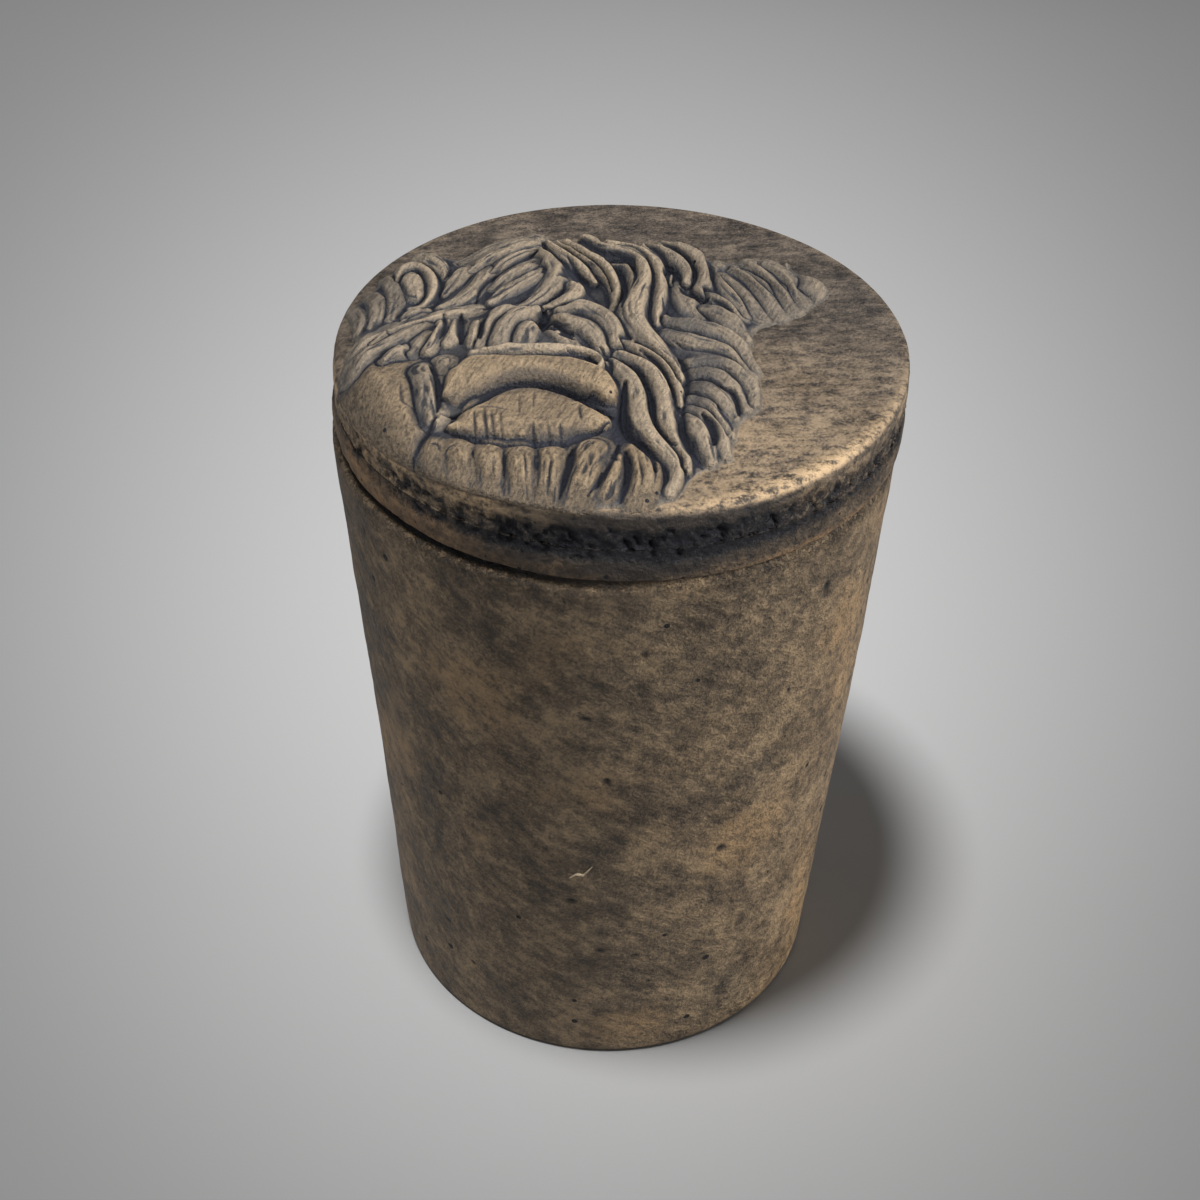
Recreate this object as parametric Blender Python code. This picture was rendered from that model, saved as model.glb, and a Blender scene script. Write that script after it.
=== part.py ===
"""Lidded stoneware pot: a tapered wall and base, and a lift-off lid with an animal's head laid on it in clay.

Metres, +Z up. The origin is the middle of the foot, on the floor, and the viewer of the lid stands at -Y.
The pot's pieces hang on an empty at the foot, and the lid's on an empty at its seat, on the axis it
lifts along.
"""

import math
from dataclasses import dataclass

import bmesh
import bpy
import numpy as np

MM = 0.001

# Pot, driving sizes
POT_HEIGHT = 190.0 * MM
BASE_RADIUS = 64.0 * MM
RIM_RADIUS = 75.5 * MM
WALL_THICKNESS = 8.0 * MM
BASE_THICKNESS = 10.0 * MM
RIM_ROUND = 2.8 * MM
MOUTH_ROUND = 1.4 * MM
FOOT_CHAMFER = 1.2 * MM

# Lid, driving sizes. Its edge stands a hair inside the pot's rim, and its flange clears the mouth.
LID_INSET = 0.5 * MM
SLAB_THICKNESS = 10.7 * MM
BAND_THICKNESS = 9.7 * MM
BAND_WIDTH = 17.0 * MM
TOP_EDGE_ROUND = 4.5 * MM
JOIN_CHAMFER = 1.0 * MM
LOW_EDGE_ROUND = 1.5 * MM
FLANGE_DEPTH = 9.0 * MM
FLANGE_WIDTH = 8.0 * MM
MOUTH_CLEARANCE = 1.6 * MM

# Clearances: luted clay pieces stand a hair apart, and so does the lid on its seat
LUTE_GAP = 0.3 * MM
SEAT_GAP = 0.3 * MM

# Relief, driving sizes
GROUND_THICKNESS = 1.5 * MM
GROUND_MARGIN = 1.2 * MM
EDGE_SQUEEZE = 7.0 * MM
LOCK_GAP = 0.45 * MM
LEAST_HALF_WIDTH = 0.6 * MM
LOCK_STEP = 3.2 * MM

# Sizes that follow from those above; heights of the lid are over its seat, the pot's rim
LID_RADIUS = RIM_RADIUS - LID_INSET
MOUTH_RADIUS = RIM_RADIUS - WALL_THICKNESS
FLANGE_RADIUS = MOUTH_RADIUS - MOUTH_CLEARANCE
FLAT_RADIUS = LID_RADIUS - TOP_EDGE_ROUND
UNSQUEEZED_RADIUS = FLAT_RADIUS - EDGE_SQUEEZE
BAND_BOTTOM = SEAT_GAP
BAND_TOP = BAND_BOTTOM + BAND_THICKNESS
SLAB_BOTTOM = BAND_TOP + LUTE_GAP
SLAB_TOP = SLAB_BOTTOM + SLAB_THICKNESS
FLANGE_TOP = BAND_BOTTOM - LUTE_GAP
FLANGE_BOTTOM = FLANGE_TOP - FLANGE_DEPTH
GROUND_BOTTOM = SLAB_TOP + LUTE_GAP
GROUND_TOP = GROUND_BOTTOM + GROUND_THICKNESS
LOCK_BOTTOM = GROUND_TOP + LUTE_GAP

# The relief is drawn on squared paper, with this count of squares from the lid's middle to its edge
SQUARE_COUNT = 75
SQUARE = LID_RADIUS / SQUARE_COUNT

# Forms: shares of a piece's own plan size and height, from its underside up
GROUND_FORM = ((1.0, 0.0), (1.0, 0.6), (0.99, 1.0))
PAD_FORM = ((1.0, 0.0), (0.985, 0.45), (0.9, 0.8), (0.72, 1.0))
LOCK_SECTION = ((1.0, 0.0), (1.0, 0.4), (0.6, 0.84), (0.0, 1.0), (-0.6, 0.84), (-1.0, 0.4), (-1.0, 0.0))

# A lock is pressed out wider than its drawn strip, and it thins towards its root and its tip
LOCK_FULLNESS = 1.4
ROOT_WIDTH = 0.6
ROOT_GROWTH = 3.0
TIP_WIDTH = 0.5
TIP_GROWTH = 2.4
END_RISE = 0.55

# Fineness of the meshes
TURN_SEGMENTS = 64
CORNER_POINTS = 5
CURVE_POINTS = 12
BORDER_POINTS = 6
SHARP_ANGLE = math.radians(40)


@dataclass(frozen=True)
class Lock:
    """One strip of clay laid on the relief's ground, in squares of the drawing.

    Attributes:
        name: the node's name.
        height: the ridge's height over the lid's flat top.
        half_width: half the drawn strip's width at its middle.
        points: plan points along the ridge, x right and y away.
    """

    name: str
    height: float
    half_width: float
    points: tuple[tuple[float, float], ...]


@dataclass(frozen=True)
class Pad:
    """One domed pad of clay, in squares of the drawing.

    Attributes:
        name: the node's name.
        height: the pad's height over the lid's flat top.
        outline: plan points round the pad.
    """

    name: str
    height: float
    outline: tuple[tuple[float, float], ...]


GROUND_OUTLINE = (
    (-23, 54), (-14, 54.5), (-3, 55), (8, 53.5), (19, 50), (24, 46.5), (30, 47.5), (41, 45.5), (51, 41),
    (54.5, 32), (53.5, 21), (47, 13), (39, 9), (36, 2), (36.5, -9), (36.5, -25), (34, -38), (30, -46),
    (26.5, -53), (22, -58.5), (18, -65), (12, -73), (0, -75), (-14, -75), (-28, -72), (-42, -65), (-53, -57),
    (-63, -45), (-69, -32), (-73, -14), (-74, 5), (-72, 18), (-66, 31), (-60, 40), (-51, 47), (-40, 51.5),
    (-32, 53.5),
)

PADS = (
    Pad("muzzle", 8.0, (
        (-44.2, -34.5), (-44.4, -28), (-42, -23), (-38, -20), (-30.5, -18.6), (-19.2, -18.9), (-11, -20.6),
        (-5.6, -23.6), (-2.4, -27.5), (-1.2, -31.5), (-2.6, -34), (-6.4, -33.8), (-10, -31.3),
        (-13.8, -28.6), (-18.8, -26.3), (-25, -25.9), (-31.3, -27.4), (-34.9, -29.8), (-39.5, -34),
    )),
    Pad("lower_lip", 4.8, (
        (-40.5, -43.5), (-37.6, -39.5), (-34.4, -36.3), (-30.5, -32.6), (-25, -30.2), (-18.7, -29.9),
        (-13.7, -32.2), (-9.9, -35.4), (-6.1, -39.4), (-4.2, -42.4), (-9, -47.2), (-13.1, -49.4),
        (-19.1, -50.6), (-26.3, -50.8), (-33.6, -49.5), (-38.4, -48.6), (-40.6, -46.5),
    )),
    Pad("left_cheek", 5.4, (
        (-53.5, -21.5), (-51.6, -27), (-50.4, -34), (-49.7, -41), (-50.2, -47), (-52, -52.5), (-55, -53),
        (-60, -46), (-65, -36), (-68, -25.5), (-67, -21.5), (-60, -20),
    )),
    Pad("right_ear", 3.9, (
        (29, 36.5), (31, 42), (36, 43), (41.4, 42), (46, 41), (50, 37.5), (52.2, 31.5), (52.2, 24.5),
        (50.2, 18.8), (47, 14.8), (43, 12), (39.4, 10.6), (37, 11.4), (36.2, 18), (33.4, 25.5), (30.4, 31.5),
    )),
)

LOCKS = (
    Lock("nose_bar", 8.4, 1.2, ((-38, -16.5), (-30.5, -16.4), (-20.5, -16.5), (-11.5, -16.6), (-6, -18.2))),
    Lock("right_lock_main", 6.2, 3.3, (
        (-10, 45), (-5.5, 41.5), (-0.5, 39), (3.2, 35.8), (5.4, 31), (5.7, 25.5), (4.5, 19.3), (3.2, 14),
        (2.7, 9), (3.2, 4), (5, -1), (8, -6), (11, -11), (13.4, -16), (14.8, -22),
    )),
    Lock("muzzle_lock_inner", 5.0, 2.7, (
        (-0.2, -17), (0.9, -20.5), (3, -25), (4.1, -31), (4.4, -38), (5.6, -44.3), (8, -50), (11, -54.6),
        (13, -59.5), (13.2, -64),
    )),
    Lock("muzzle_lock_middle", 5.0, 2.3, (
        (-0.3, -11.5), (3.3, -14), (6.6, -18), (9.1, -22.8), (10.3, -28.6), (10.7, -34.4), (11.2, -40),
        (12.1, -45.7), (14.2, -50.7), (15.8, -55.5),
    )),
    Lock("muzzle_lock_outer", 5.0, 1.8, (
        (0.2, -5.7), (3.8, -9), (7.4, -12.4), (10.6, -17), (13, -22.5), (14.5, -28.5),
    )),
    Lock("right_lock_2", 5.6, 2.1, (
        (-4, 44), (1.5, 42.2), (6, 38.8), (9, 34.2), (10.6, 28.5), (11, 22), (10.4, 16), (9.8, 9.5),
    )),
    Lock("right_lock_3", 5.0, 2.4, (
        (6, 43.5), (10.5, 41.2), (14.2, 37.4), (16.8, 33), (17.6, 28.4), (16.4, 24.4),
    )),
    Lock("right_lock_4", 5.0, 2.5, (
        (11, 45), (16, 42.8), (19.8, 38.9), (21.9, 33.4), (22.3, 27), (21, 21.5),
    )),
    Lock("parting_lock_1", 5.0, 2.0, (
        (-15.6, 45), (-11, 39.5), (-6.6, 34.8), (-3.6, 29), (-1.9, 22.6), (-1.7, 17),
    )),
    Lock("parting_lock_2", 4.2, 1.9, ((-21, 46), (-17, 41), (-13, 36), (-9.6, 31), (-7, 26))),
    Lock("right_lock_5", 4.2, 2.3, ((14.8, 21), (16.1, 17), (17.8, 13), (20, 9.6))),
    Lock("right_lock_6", 3.8, 1.9, ((25.1, 33), (26.5, 27.3), (29, 22), (31.5, 17.5), (33, 13.5))),
    Lock("right_lock_7", 3.9, 1.9, ((23.5, 15), (26.5, 11.5), (29.5, 6.5), (32, 2))),
    Lock("right_lock_8", 4.6, 2.0, (
        (12.5, 5.6), (16, 3.8), (20, 3.2), (23.8, 1), (27.3, -1.8), (30.1, -5.6), (32.2, -10.3), (34, -14),
    )),
    Lock("right_lock_9", 4.2, 2.1, (
        (12.6, -1), (15.8, -3.4), (19.8, -5.2), (23.6, -6.7), (27.1, -8.6), (29.6, -11.6), (31.5, -15.5),
    )),
    Lock("right_lock_10", 4.0, 2.0, (
        (18, -13.6), (21.7, -13), (25.5, -13.5), (28.9, -15.8), (31.3, -20), (32.9, -25), (33, -29.5),
    )),
    Lock("right_lock_11", 3.8, 1.9, (
        (18.4, -19), (22, -20), (25, -22), (27.8, -25.5), (29.6, -29.5), (31, -33.5),
    )),
    Lock("right_lock_12", 3.8, 1.9, (
        (18.6, -25.6), (21.4, -27.4), (24, -30.6), (26.2, -34.6), (27.6, -38.5),
    )),
    Lock("right_lock_13", 3.7, 1.8, ((18.4, -32), (21, -34.4), (23.2, -38), (25, -42), (26.4, -46))),
    Lock("right_lock_14", 3.8, 1.9, (
        (16.4, -38.4), (18.6, -41.6), (20.3, -45.8), (21.3, -50.4), (21.8, -54.5),
    )),
    Lock("forelock_outer", 6.4, 1.9, (
        (-22.2, 39), (-20, 33.2), (-18.5, 27.4), (-18.4, 21.5), (-20.3, 16.4), (-23.6, 12), (-28, 9),
    )),
    Lock("forelock_inner", 6.0, 2.0, ((-24, 31), (-24.4, 25.5), (-27, 20), (-31, 15.6), (-35, 12))),
    Lock("brow_knob", 6.6, 2.1, ((-13, 20.5), (-12.4, 16.4), (-14.2, 12.7), (-17.4, 11))),
    Lock("brow_tuft_right_outer", 7.0, 2.0, (
        (-15, 6.5), (-11, 7), (-7, 5.4), (-3.7, 1.8), (-2.2, -3.2), (-2, -7),
    )),
    Lock("brow_tuft_right_inner", 7.0, 1.9, (
        (-17.5, 3), (-13.8, 0), (-9.8, -2.4), (-6.9, -6.5), (-5.6, -11),
    )),
    Lock("brow_tuft_middle", 6.6, 2.4, ((-22, -1), (-23.8, -3.5), (-24.6, -7.5), (-24.8, -11.6))),
    Lock("brow_tuft_left", 7.0, 2.3, ((-22.5, 6), (-26.2, 4), (-29, -0.5), (-30.6, -6.5), (-31, -11.6))),
    Lock("eye_strand", 5.6, 1.7, ((-46.6, 1), (-47.6, -5), (-49.2, -11.5))),
    Lock("temple_lock_upper", 5.0, 1.6, (
        (-39, 8), (-44.8, 5.6), (-49.8, 2.8), (-54.8, -0.6), (-59.6, -4), (-64.2, -8),
    )),
    Lock("temple_lock_lower", 4.6, 1.8, (
        (-52, -4.2), (-55, -6.5), (-58.7, -9.8), (-62.4, -13.2), (-65.6, -17),
    )),
    Lock("crown_lock_1", 4.0, 1.7, ((-26, 48.5), (-32.3, 45.2), (-37.6, 41), (-42.4, 36.6))),
    Lock("crown_lock_2", 4.8, 2.1, (
        (-24.2, 43.6), (-28.5, 40.2), (-33.5, 36.6), (-38, 32.4), (-42, 27.5), (-45, 22),
    )),
    Lock("crown_lock_3", 5.0, 1.9, ((-25.2, 38.6), (-29, 35), (-33, 30.4))),
    Lock("crown_lock_4", 4.8, 2.0, ((-36.4, 26.5), (-38, 21.2), (-40.3, 16.2), (-43.5, 12.4), (-47.4, 9.6))),
    Lock("left_leaf", 4.0, 2.1, ((-55, 36), (-51.9, 33.8), (-49.1, 30.4), (-47.8, 26.5))),
    Lock("left_coil", 4.6, 1.7, (
        (-60, 22.5), (-59.6, 26.5), (-58, 29.4), (-55.4, 29.2), (-52.4, 26.5), (-50.4, 21), (-50.4, 15.4),
        (-52.2, 11.2), (-55, 9.4),
    )),
    Lock("left_coil_heart", 5.2, 2.4, ((-57, 25), (-55.6, 21.5), (-54.6, 17.5))),
    Lock("left_ear_strand", 3.8, 1.6, ((-64, 25.5), (-63, 20), (-61.2, 15), (-60.6, 9.5), (-61, 4.5))),
    Lock("cheek_lock", 5.4, 1.9, (
        (-50.2, -18.5), (-48.8, -24), (-47.4, -30.5), (-46.6, -37), (-45.8, -42.5),
    )),
    Lock("chin_tuft_1", 4.0, 2.3, ((4.4, -55), (5.6, -60), (5.6, -65))),
    Lock("chin_tuft_2", 4.0, 1.9, ((-1.2, -56), (-1.7, -61), (-2.4, -66))),
    Lock("chin_tuft_3", 4.2, 2.8, ((-6.6, -54), (-7.4, -59.5), (-8.4, -65))),
    Lock("chin_tuft_4", 4.2, 2.6, ((-16.6, -54.5), (-16.8, -60), (-17, -65.5))),
    Lock("chin_tuft_5", 4.2, 3.0, ((-24, -54.5), (-23.8, -59.5), (-23.2, -64))),
    Lock("chin_tuft_6", 4.0, 3.0, ((-31.4, -54), (-31, -58.5), (-30.2, -62))),
    Lock("chin_tuft_7", 3.8, 3.0, ((-39, -52.8), (-38.4, -55.5), (-37.4, -58))),
)


def clear_scene() -> None:
    """Remove every object that the file starts with."""
    for item in list(bpy.data.objects):
        bpy.data.objects.remove(item, do_unlink=True)


def clay(name: str, colour: tuple[float, float, float], roughness: float) -> bpy.types.Material:
    """Make a plain Principled clay material.

    Args:
        name: the material's name.
        colour: linear base colour.
        roughness: surface roughness.

    Returns:
        The new material.
    """
    made = bpy.data.materials.new(name)
    made.use_nodes = True
    shader = made.node_tree.nodes["Principled BSDF"]
    shader.inputs["Base Color"].default_value = (*colour, 1.0)
    shader.inputs["Roughness"].default_value = roughness
    shader.inputs["Metallic"].default_value = 0.0
    made.diffuse_color = (*colour, 1.0)
    return made


def carrier(name: str, height: float) -> bpy.types.Object:
    """Add an empty on the pot's axis at a height, to carry the pieces of one body."""
    made = bpy.data.objects.new(name, None)
    made.location = (0.0, 0.0, height)
    bpy.context.scene.collection.objects.link(made)
    return made


def add_solid(
    name: str, work: bmesh.types.BMesh, material: bpy.types.Material, body: bpy.types.Object
) -> bpy.types.Object:
    """Make one named object from a closed shape, shaded smooth with its faces turned outwards.

    Args:
        name: the node's name.
        work: the shape, which is freed here.
        material: the solid's material.
        body: the empty that carries it.

    Returns:
        The new object.
    """
    bmesh.ops.recalc_face_normals(work, faces=work.faces)
    mesh = bpy.data.meshes.new(name)
    work.to_mesh(mesh)
    work.free()
    mesh.shade_smooth()
    mesh.set_sharp_from_angle(angle=SHARP_ANGLE)
    mesh.materials.append(material)
    made = bpy.data.objects.new(name, mesh)
    made.parent = body
    bpy.context.scene.collection.objects.link(made)
    return made


def corner(centre: tuple[float, float], radius: float, start: float, end: float) -> list[tuple[float, float]]:
    """Points of a round corner in the (radius, height) plane.

    Args:
        centre: the corner's centre.
        radius: the corner's radius.
        start: first angle in degrees from the outward direction.
        end: last angle in degrees.

    Returns:
        The points, first to last.
    """
    angles = np.radians(np.linspace(start, end, CORNER_POINTS))
    return [(centre[0] + radius * math.cos(a), centre[1] + radius * math.sin(a)) for a in angles]


def turn(
    name: str,
    profile: list[tuple[float, float]],
    is_ring: bool,
    material: bpy.types.Material,
    body: bpy.types.Object,
) -> bpy.types.Object:
    """Spin a (radius, height) profile round the pot's axis.

    Args:
        name: the node's name.
        profile: the profile's points.
        is_ring: whether the profile is a loop clear of the axis; otherwise its two ends are closed flat.
        material: the solid's material.
        body: the empty that carries it.

    Returns:
        The new object.
    """
    work = bmesh.new()
    points = [work.verts.new((r, 0.0, z)) for r, z in profile]
    pairs = list(zip(points, points[1:]))
    if is_ring:
        pairs.append((points[-1], points[0]))
    edges = [work.edges.new(pair) for pair in pairs]
    bmesh.ops.spin(
        work,
        geom=[*points, *edges],
        cent=(0.0, 0.0, 0.0),
        axis=(0.0, 0.0, 1.0),
        angle=math.tau,
        steps=TURN_SEGMENTS,
        use_merge=True,
    )
    bmesh.ops.holes_fill(work, edges=work.edges, sides=0)
    return add_solid(name, work, material, body)


def loft(
    name: str, loops: list[np.ndarray], material: bpy.types.Material, body: bpy.types.Object
) -> bpy.types.Object:
    """Extrude a first loop through the loops after it, into a solid with flat ends.

    Args:
        name: the node's name.
        loops: rows of points in metres, as many in each loop.
        material: the solid's material.
        body: the empty that carries it.

    Returns:
        The new object.
    """
    work = bmesh.new()
    cap = work.faces.new([work.verts.new(point) for point in loops[0]])
    for loop in loops[1:]:
        cap = bmesh.ops.extrude_discrete_faces(work, faces=[cap])["faces"][0]
        for vert, point in zip(cap.verts, loop):
            vert.co = point
    bmesh.ops.holes_fill(work, edges=work.edges, sides=0)
    return add_solid(name, work, material, body)


def wall_radius(height: float) -> float:
    """Outside radius of the pot's tapered wall at a height."""
    return BASE_RADIUS + (RIM_RADIUS - BASE_RADIUS) * height / POT_HEIGHT


def build_pot(material: bpy.types.Material) -> None:
    """Make the wall and the base slab that is wedged inside the foot of its taper."""
    body = carrier("pot_foot", 0.0)
    wall = corner((RIM_RADIUS - RIM_ROUND, POT_HEIGHT - RIM_ROUND), RIM_ROUND, 90, 0)
    wall += [(BASE_RADIUS, FOOT_CHAMFER), (BASE_RADIUS - FOOT_CHAMFER, 0.0)]
    wall += [(BASE_RADIUS - WALL_THICKNESS, 0.0)]
    wall += corner((MOUTH_RADIUS + MOUTH_ROUND, POT_HEIGHT - MOUTH_ROUND), MOUTH_ROUND, 180, 90)
    turn("pot_wall", wall, True, material, body)
    gap = WALL_THICKNESS + LUTE_GAP
    base = [(wall_radius(BASE_THICKNESS) - gap, BASE_THICKNESS), (BASE_RADIUS - gap, 0.0)]
    turn("pot_base", base, False, material, body)


def build_lid(material: bpy.types.Material, body: bpy.types.Object) -> None:
    """Make the lid's top slab, the band under it and the flange that drops into the mouth."""
    slab = corner((FLAT_RADIUS, SLAB_TOP - TOP_EDGE_ROUND), TOP_EDGE_ROUND, 90, 0)
    slab += [(LID_RADIUS, SLAB_BOTTOM + JOIN_CHAMFER), (LID_RADIUS - JOIN_CHAMFER, SLAB_BOTTOM)]
    turn("lid_top_slab", slab, False, material, body)
    inside = LID_RADIUS - BAND_WIDTH
    band = [(inside, BAND_TOP), (LID_RADIUS - JOIN_CHAMFER, BAND_TOP), (LID_RADIUS, BAND_TOP - JOIN_CHAMFER)]
    band += corner((LID_RADIUS - LOW_EDGE_ROUND, BAND_BOTTOM + LOW_EDGE_ROUND), LOW_EDGE_ROUND, 0, -90)
    band += [(inside, BAND_BOTTOM)]
    turn("lid_rim_band", band, True, material, body)
    inside = FLANGE_RADIUS - FLANGE_WIDTH
    flange = [(inside, FLANGE_TOP), (FLANGE_RADIUS, FLANGE_TOP)]
    flange += corner(
        (FLANGE_RADIUS - LOW_EDGE_ROUND, FLANGE_BOTTOM + LOW_EDGE_ROUND), LOW_EDGE_ROUND, 0, -90
    )
    flange += [(inside, FLANGE_BOTTOM)]
    turn("lid_flange", flange, True, material, body)


def plan(points: tuple[tuple[float, float], ...]) -> np.ndarray:
    """Turn squares of the drawing into metres on the lid.

    Near the lid's edge the drawing is squeezed, so that its furthest point meets the edge of the flat top.

    Args:
        points: plan points, in squares.

    Returns:
        The same points in metres, one row each.
    """
    spots = np.array(points, dtype=float) * SQUARE
    reach = np.linalg.norm(spots, axis=1)
    furthest = np.linalg.norm(GROUND_OUTLINE, axis=1).max() * SQUARE
    held = np.interp(reach, (0.0, UNSQUEEZED_RADIUS, furthest), (0.0, UNSQUEEZED_RADIUS, FLAT_RADIUS))
    return spots * (held / reach)[:, None]


def dense(outline: np.ndarray) -> np.ndarray:
    """Points at close steps along a closed outline."""
    following = np.roll(outline, -1, axis=0)
    steps = np.linspace(0, 1, BORDER_POINTS, endpoint=False)
    return np.concatenate([outline + (following - outline) * t for t in steps])


def holds(outline: np.ndarray, point: np.ndarray) -> bool:
    """Whether a closed outline goes round a point, by counting the edges to its right."""
    a, b = outline, np.roll(outline, -1, axis=0)
    spans = (a[:, 1] > point[1]) != (b[:, 1] > point[1])
    rise = np.where(spans, b[:, 1] - a[:, 1], 1.0)
    cross = a[:, 0] + (point[1] - a[:, 1]) / rise * (b[:, 0] - a[:, 0])
    return bool(np.count_nonzero(spans & (cross > point[0])) % 2)


def build_pad(
    name: str,
    outline: np.ndarray,
    span: tuple[float, float],
    form: tuple[tuple[float, float], ...],
    material: bpy.types.Material,
    body: bpy.types.Object,
) -> None:
    """Make a pad whose outline draws in towards its middle as it rises.

    Args:
        name: the node's name.
        outline: plan points in metres.
        span: heights of its flat underside and of its top.
        form: pairs of plan scale and share of the pad's height, from the underside up.
        material: the solid's material.
        body: the empty that carries it.
    """
    middle = outline.mean(axis=0)
    bottom, top = span
    loops = []
    for scale, share in form:
        ring = middle + (outline - middle) * scale
        loops.append(np.column_stack([ring, np.full(len(ring), bottom + (top - bottom) * share)]))
    loft(name, loops, material, body)


def spine(points: np.ndarray) -> tuple[np.ndarray, np.ndarray]:
    """Smooth a lock's ridge line with a curve through its points, and give even steps along it.

    Args:
        points: plan points in metres.

    Returns:
        Places along the line, and the unit direction to the left at each.
    """
    ends = np.vstack([2 * points[0] - points[1], points, 2 * points[-1] - points[-2]])
    t = np.linspace(0, 1, CURVE_POINTS, endpoint=False)[:, None]
    runs = []
    for k in range(1, len(ends) - 2):
        a, b, c, d = ends[k - 1], ends[k], ends[k + 1], ends[k + 2]
        runs.append(b + 0.5 * t * (c - a + t * (2 * a - 5 * b + 4 * c - d + t * (3 * (b - c) + d - a))))
    line = np.vstack([*runs, points[-1:]])
    length = np.concatenate([[0.0], np.cumsum(np.linalg.norm(np.diff(line, axis=0), axis=1))])
    count = max(4, 1 + round(length[-1] / LOCK_STEP))
    at = np.linspace(0, length[-1], count)
    places = np.column_stack([np.interp(at, length, line[:, 0]), np.interp(at, length, line[:, 1])])
    along = np.gradient(places, axis=0)
    along /= np.linalg.norm(along, axis=1)[:, None]
    return places, np.column_stack([-along[:, 1], along[:, 0]])


def room(place: np.ndarray, side: np.ndarray, wide: float, borders: list, others: list) -> float:
    """How far a lock may spread to one side of a place.

    It stops short of a border, and shares the distance to another lock's ridge by their widths.

    Args:
        place: a point on the lock's ridge, in plan.
        side: unit direction to that side.
        wide: the lock's own full half width.
        borders: points along the outlines of the pads and of the ground.
        others: for each other lock, points along its ridge and its full half width.

    Returns:
        The half width that fits, in metres.
    """
    limits = [wide]
    shares = [(border, 1.0) for border in borders]
    shares += [(ridge, wide / (wide + other_wide)) for ridge, other_wide in others]
    for spots, share in shares:
        away = spots - place
        facing = away @ side > 0
        if facing.any():
            limits.append((float(np.linalg.norm(away[facing], axis=1).min()) - LOCK_GAP) * share)
    return min(limits)


def ridge_points(lock: Lock) -> np.ndarray:
    """Points at close steps along a lock's ridge, in plan."""
    places, _ = spine(plan(lock.points))
    steps = np.linspace(0, 1, BORDER_POINTS, endpoint=False)
    runs = [places[:-1] + (places[1:] - places[:-1]) * t for t in steps]
    return np.concatenate([*runs, places[-1:]])


def full_half_width(lock: Lock) -> float:
    """A lock's half width in metres where nothing crowds it."""
    return lock.half_width * SQUARE * LOCK_FULLNESS


def longest_run(kept: np.ndarray) -> slice:
    """The longest unbroken run of true values."""
    best, start = slice(0, 0), 0
    for k in range(len(kept) + 1):
        if k == len(kept) or not kept[k]:
            if k - start > best.stop - best.start:
                best = slice(start, k)
            start = k + 1
    return best


def build_lock(
    lock: Lock,
    pads: list[np.ndarray],
    fence: np.ndarray,
    others: list,
    material: bpy.types.Material,
    body: bpy.types.Object,
) -> None:
    """Make one domed strip, narrowed where its neighbours leave less room.

    Args:
        lock: the strip's plan, width and height.
        pads: outlines of the pads.
        fence: the ground's outline, which every strip stays inside.
        others: for each other lock, points along its ridge and its full half width.
        material: the solid's material.
        body: the empty that carries it.
    """
    places, left = spine(plan(lock.points))
    wide = full_half_width(lock)
    borders = [dense(outline) for outline in [*pads, fence]]
    spread = np.array(
        [[room(p, n * sign, wide, borders, others) for sign in (1, -1)] for p, n in zip(places, left)]
    )
    clear = np.array([holds(fence, p) and not any(holds(pad, p) for pad in pads) for p in places])
    kept = longest_run(clear & (spread.min(axis=1) >= LEAST_HALF_WIDTH))
    places, left, spread = places[kept], left[kept], spread[kept]
    u = np.linspace(0, 1, len(places))
    taper = np.minimum(1.0, np.minimum(ROOT_WIDTH + ROOT_GROWTH * u, TIP_WIDTH + TIP_GROWTH * (1 - u)))
    sides = spread * taper[:, None]
    rise = (SLAB_TOP + lock.height * SQUARE - LOCK_BOTTOM) * (END_RISE + (1 - END_RISE) * taper)
    across, up = np.array(LOCK_SECTION).T
    loops = []
    for place, out, (to_left, to_right), high in zip(places, left, sides, rise):
        reach = across * np.where(across > 0, to_left, to_right)
        loops.append(np.column_stack([place + out * reach[:, None], LOCK_BOTTOM + high * up]))
    loft(lock.name, loops, material, body)


def build_relief(
    ground_clay: bpy.types.Material, lock_clay: bpy.types.Material, body: bpy.types.Object
) -> None:
    """Make the animal's head: its ground, then the pads, then the locks between them."""
    ground = plan(GROUND_OUTLINE)
    build_pad("head_ground", ground, (GROUND_BOTTOM, GROUND_TOP), GROUND_FORM, ground_clay, body)
    middle = ground.mean(axis=0)
    reach = np.linalg.norm(ground - middle, axis=1)[:, None]
    fence = middle + (ground - middle) * (1 - GROUND_MARGIN / reach)
    pads = []
    for pad in PADS:
        outline = plan(pad.outline)
        span = (LOCK_BOTTOM, SLAB_TOP + pad.height * SQUARE)
        build_pad(pad.name, outline, span, PAD_FORM, lock_clay, body)
        pads.append(outline)
    ridges = {lock.name: (ridge_points(lock), full_half_width(lock)) for lock in LOCKS}
    for lock in LOCKS:
        others = [ridge for name, ridge in ridges.items() if name != lock.name]
        build_lock(lock, pads, fence, others, lock_clay, body)


def main() -> None:
    """Build the whole pot at rest, with its lid on."""
    clear_scene()
    build_pot(clay("pot_clay", (0.150, 0.106, 0.066), 0.62))
    lid_body = carrier("lid_seat", POT_HEIGHT)
    build_lid(clay("lid_clay", (0.172, 0.124, 0.078), 0.58), lid_body)
    ground_clay = clay("relief_ground_clay", (0.072, 0.062, 0.056), 0.62)
    build_relief(ground_clay, clay("relief_clay", (0.262, 0.190, 0.118), 0.55), lid_body)


main()
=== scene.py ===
"""Lidded stoneware pot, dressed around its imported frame: clay surfaces, finishes, studio and camera.

Lengths are millimetres until a mesh is made, +Z is up, and the viewer of the lid stands at -Y. The lid's
top is drawn on a flat plan whose edge rolls over the lid's rim, so the modelled head follows the rim as wet
clay does.
"""

from __future__ import annotations

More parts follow.
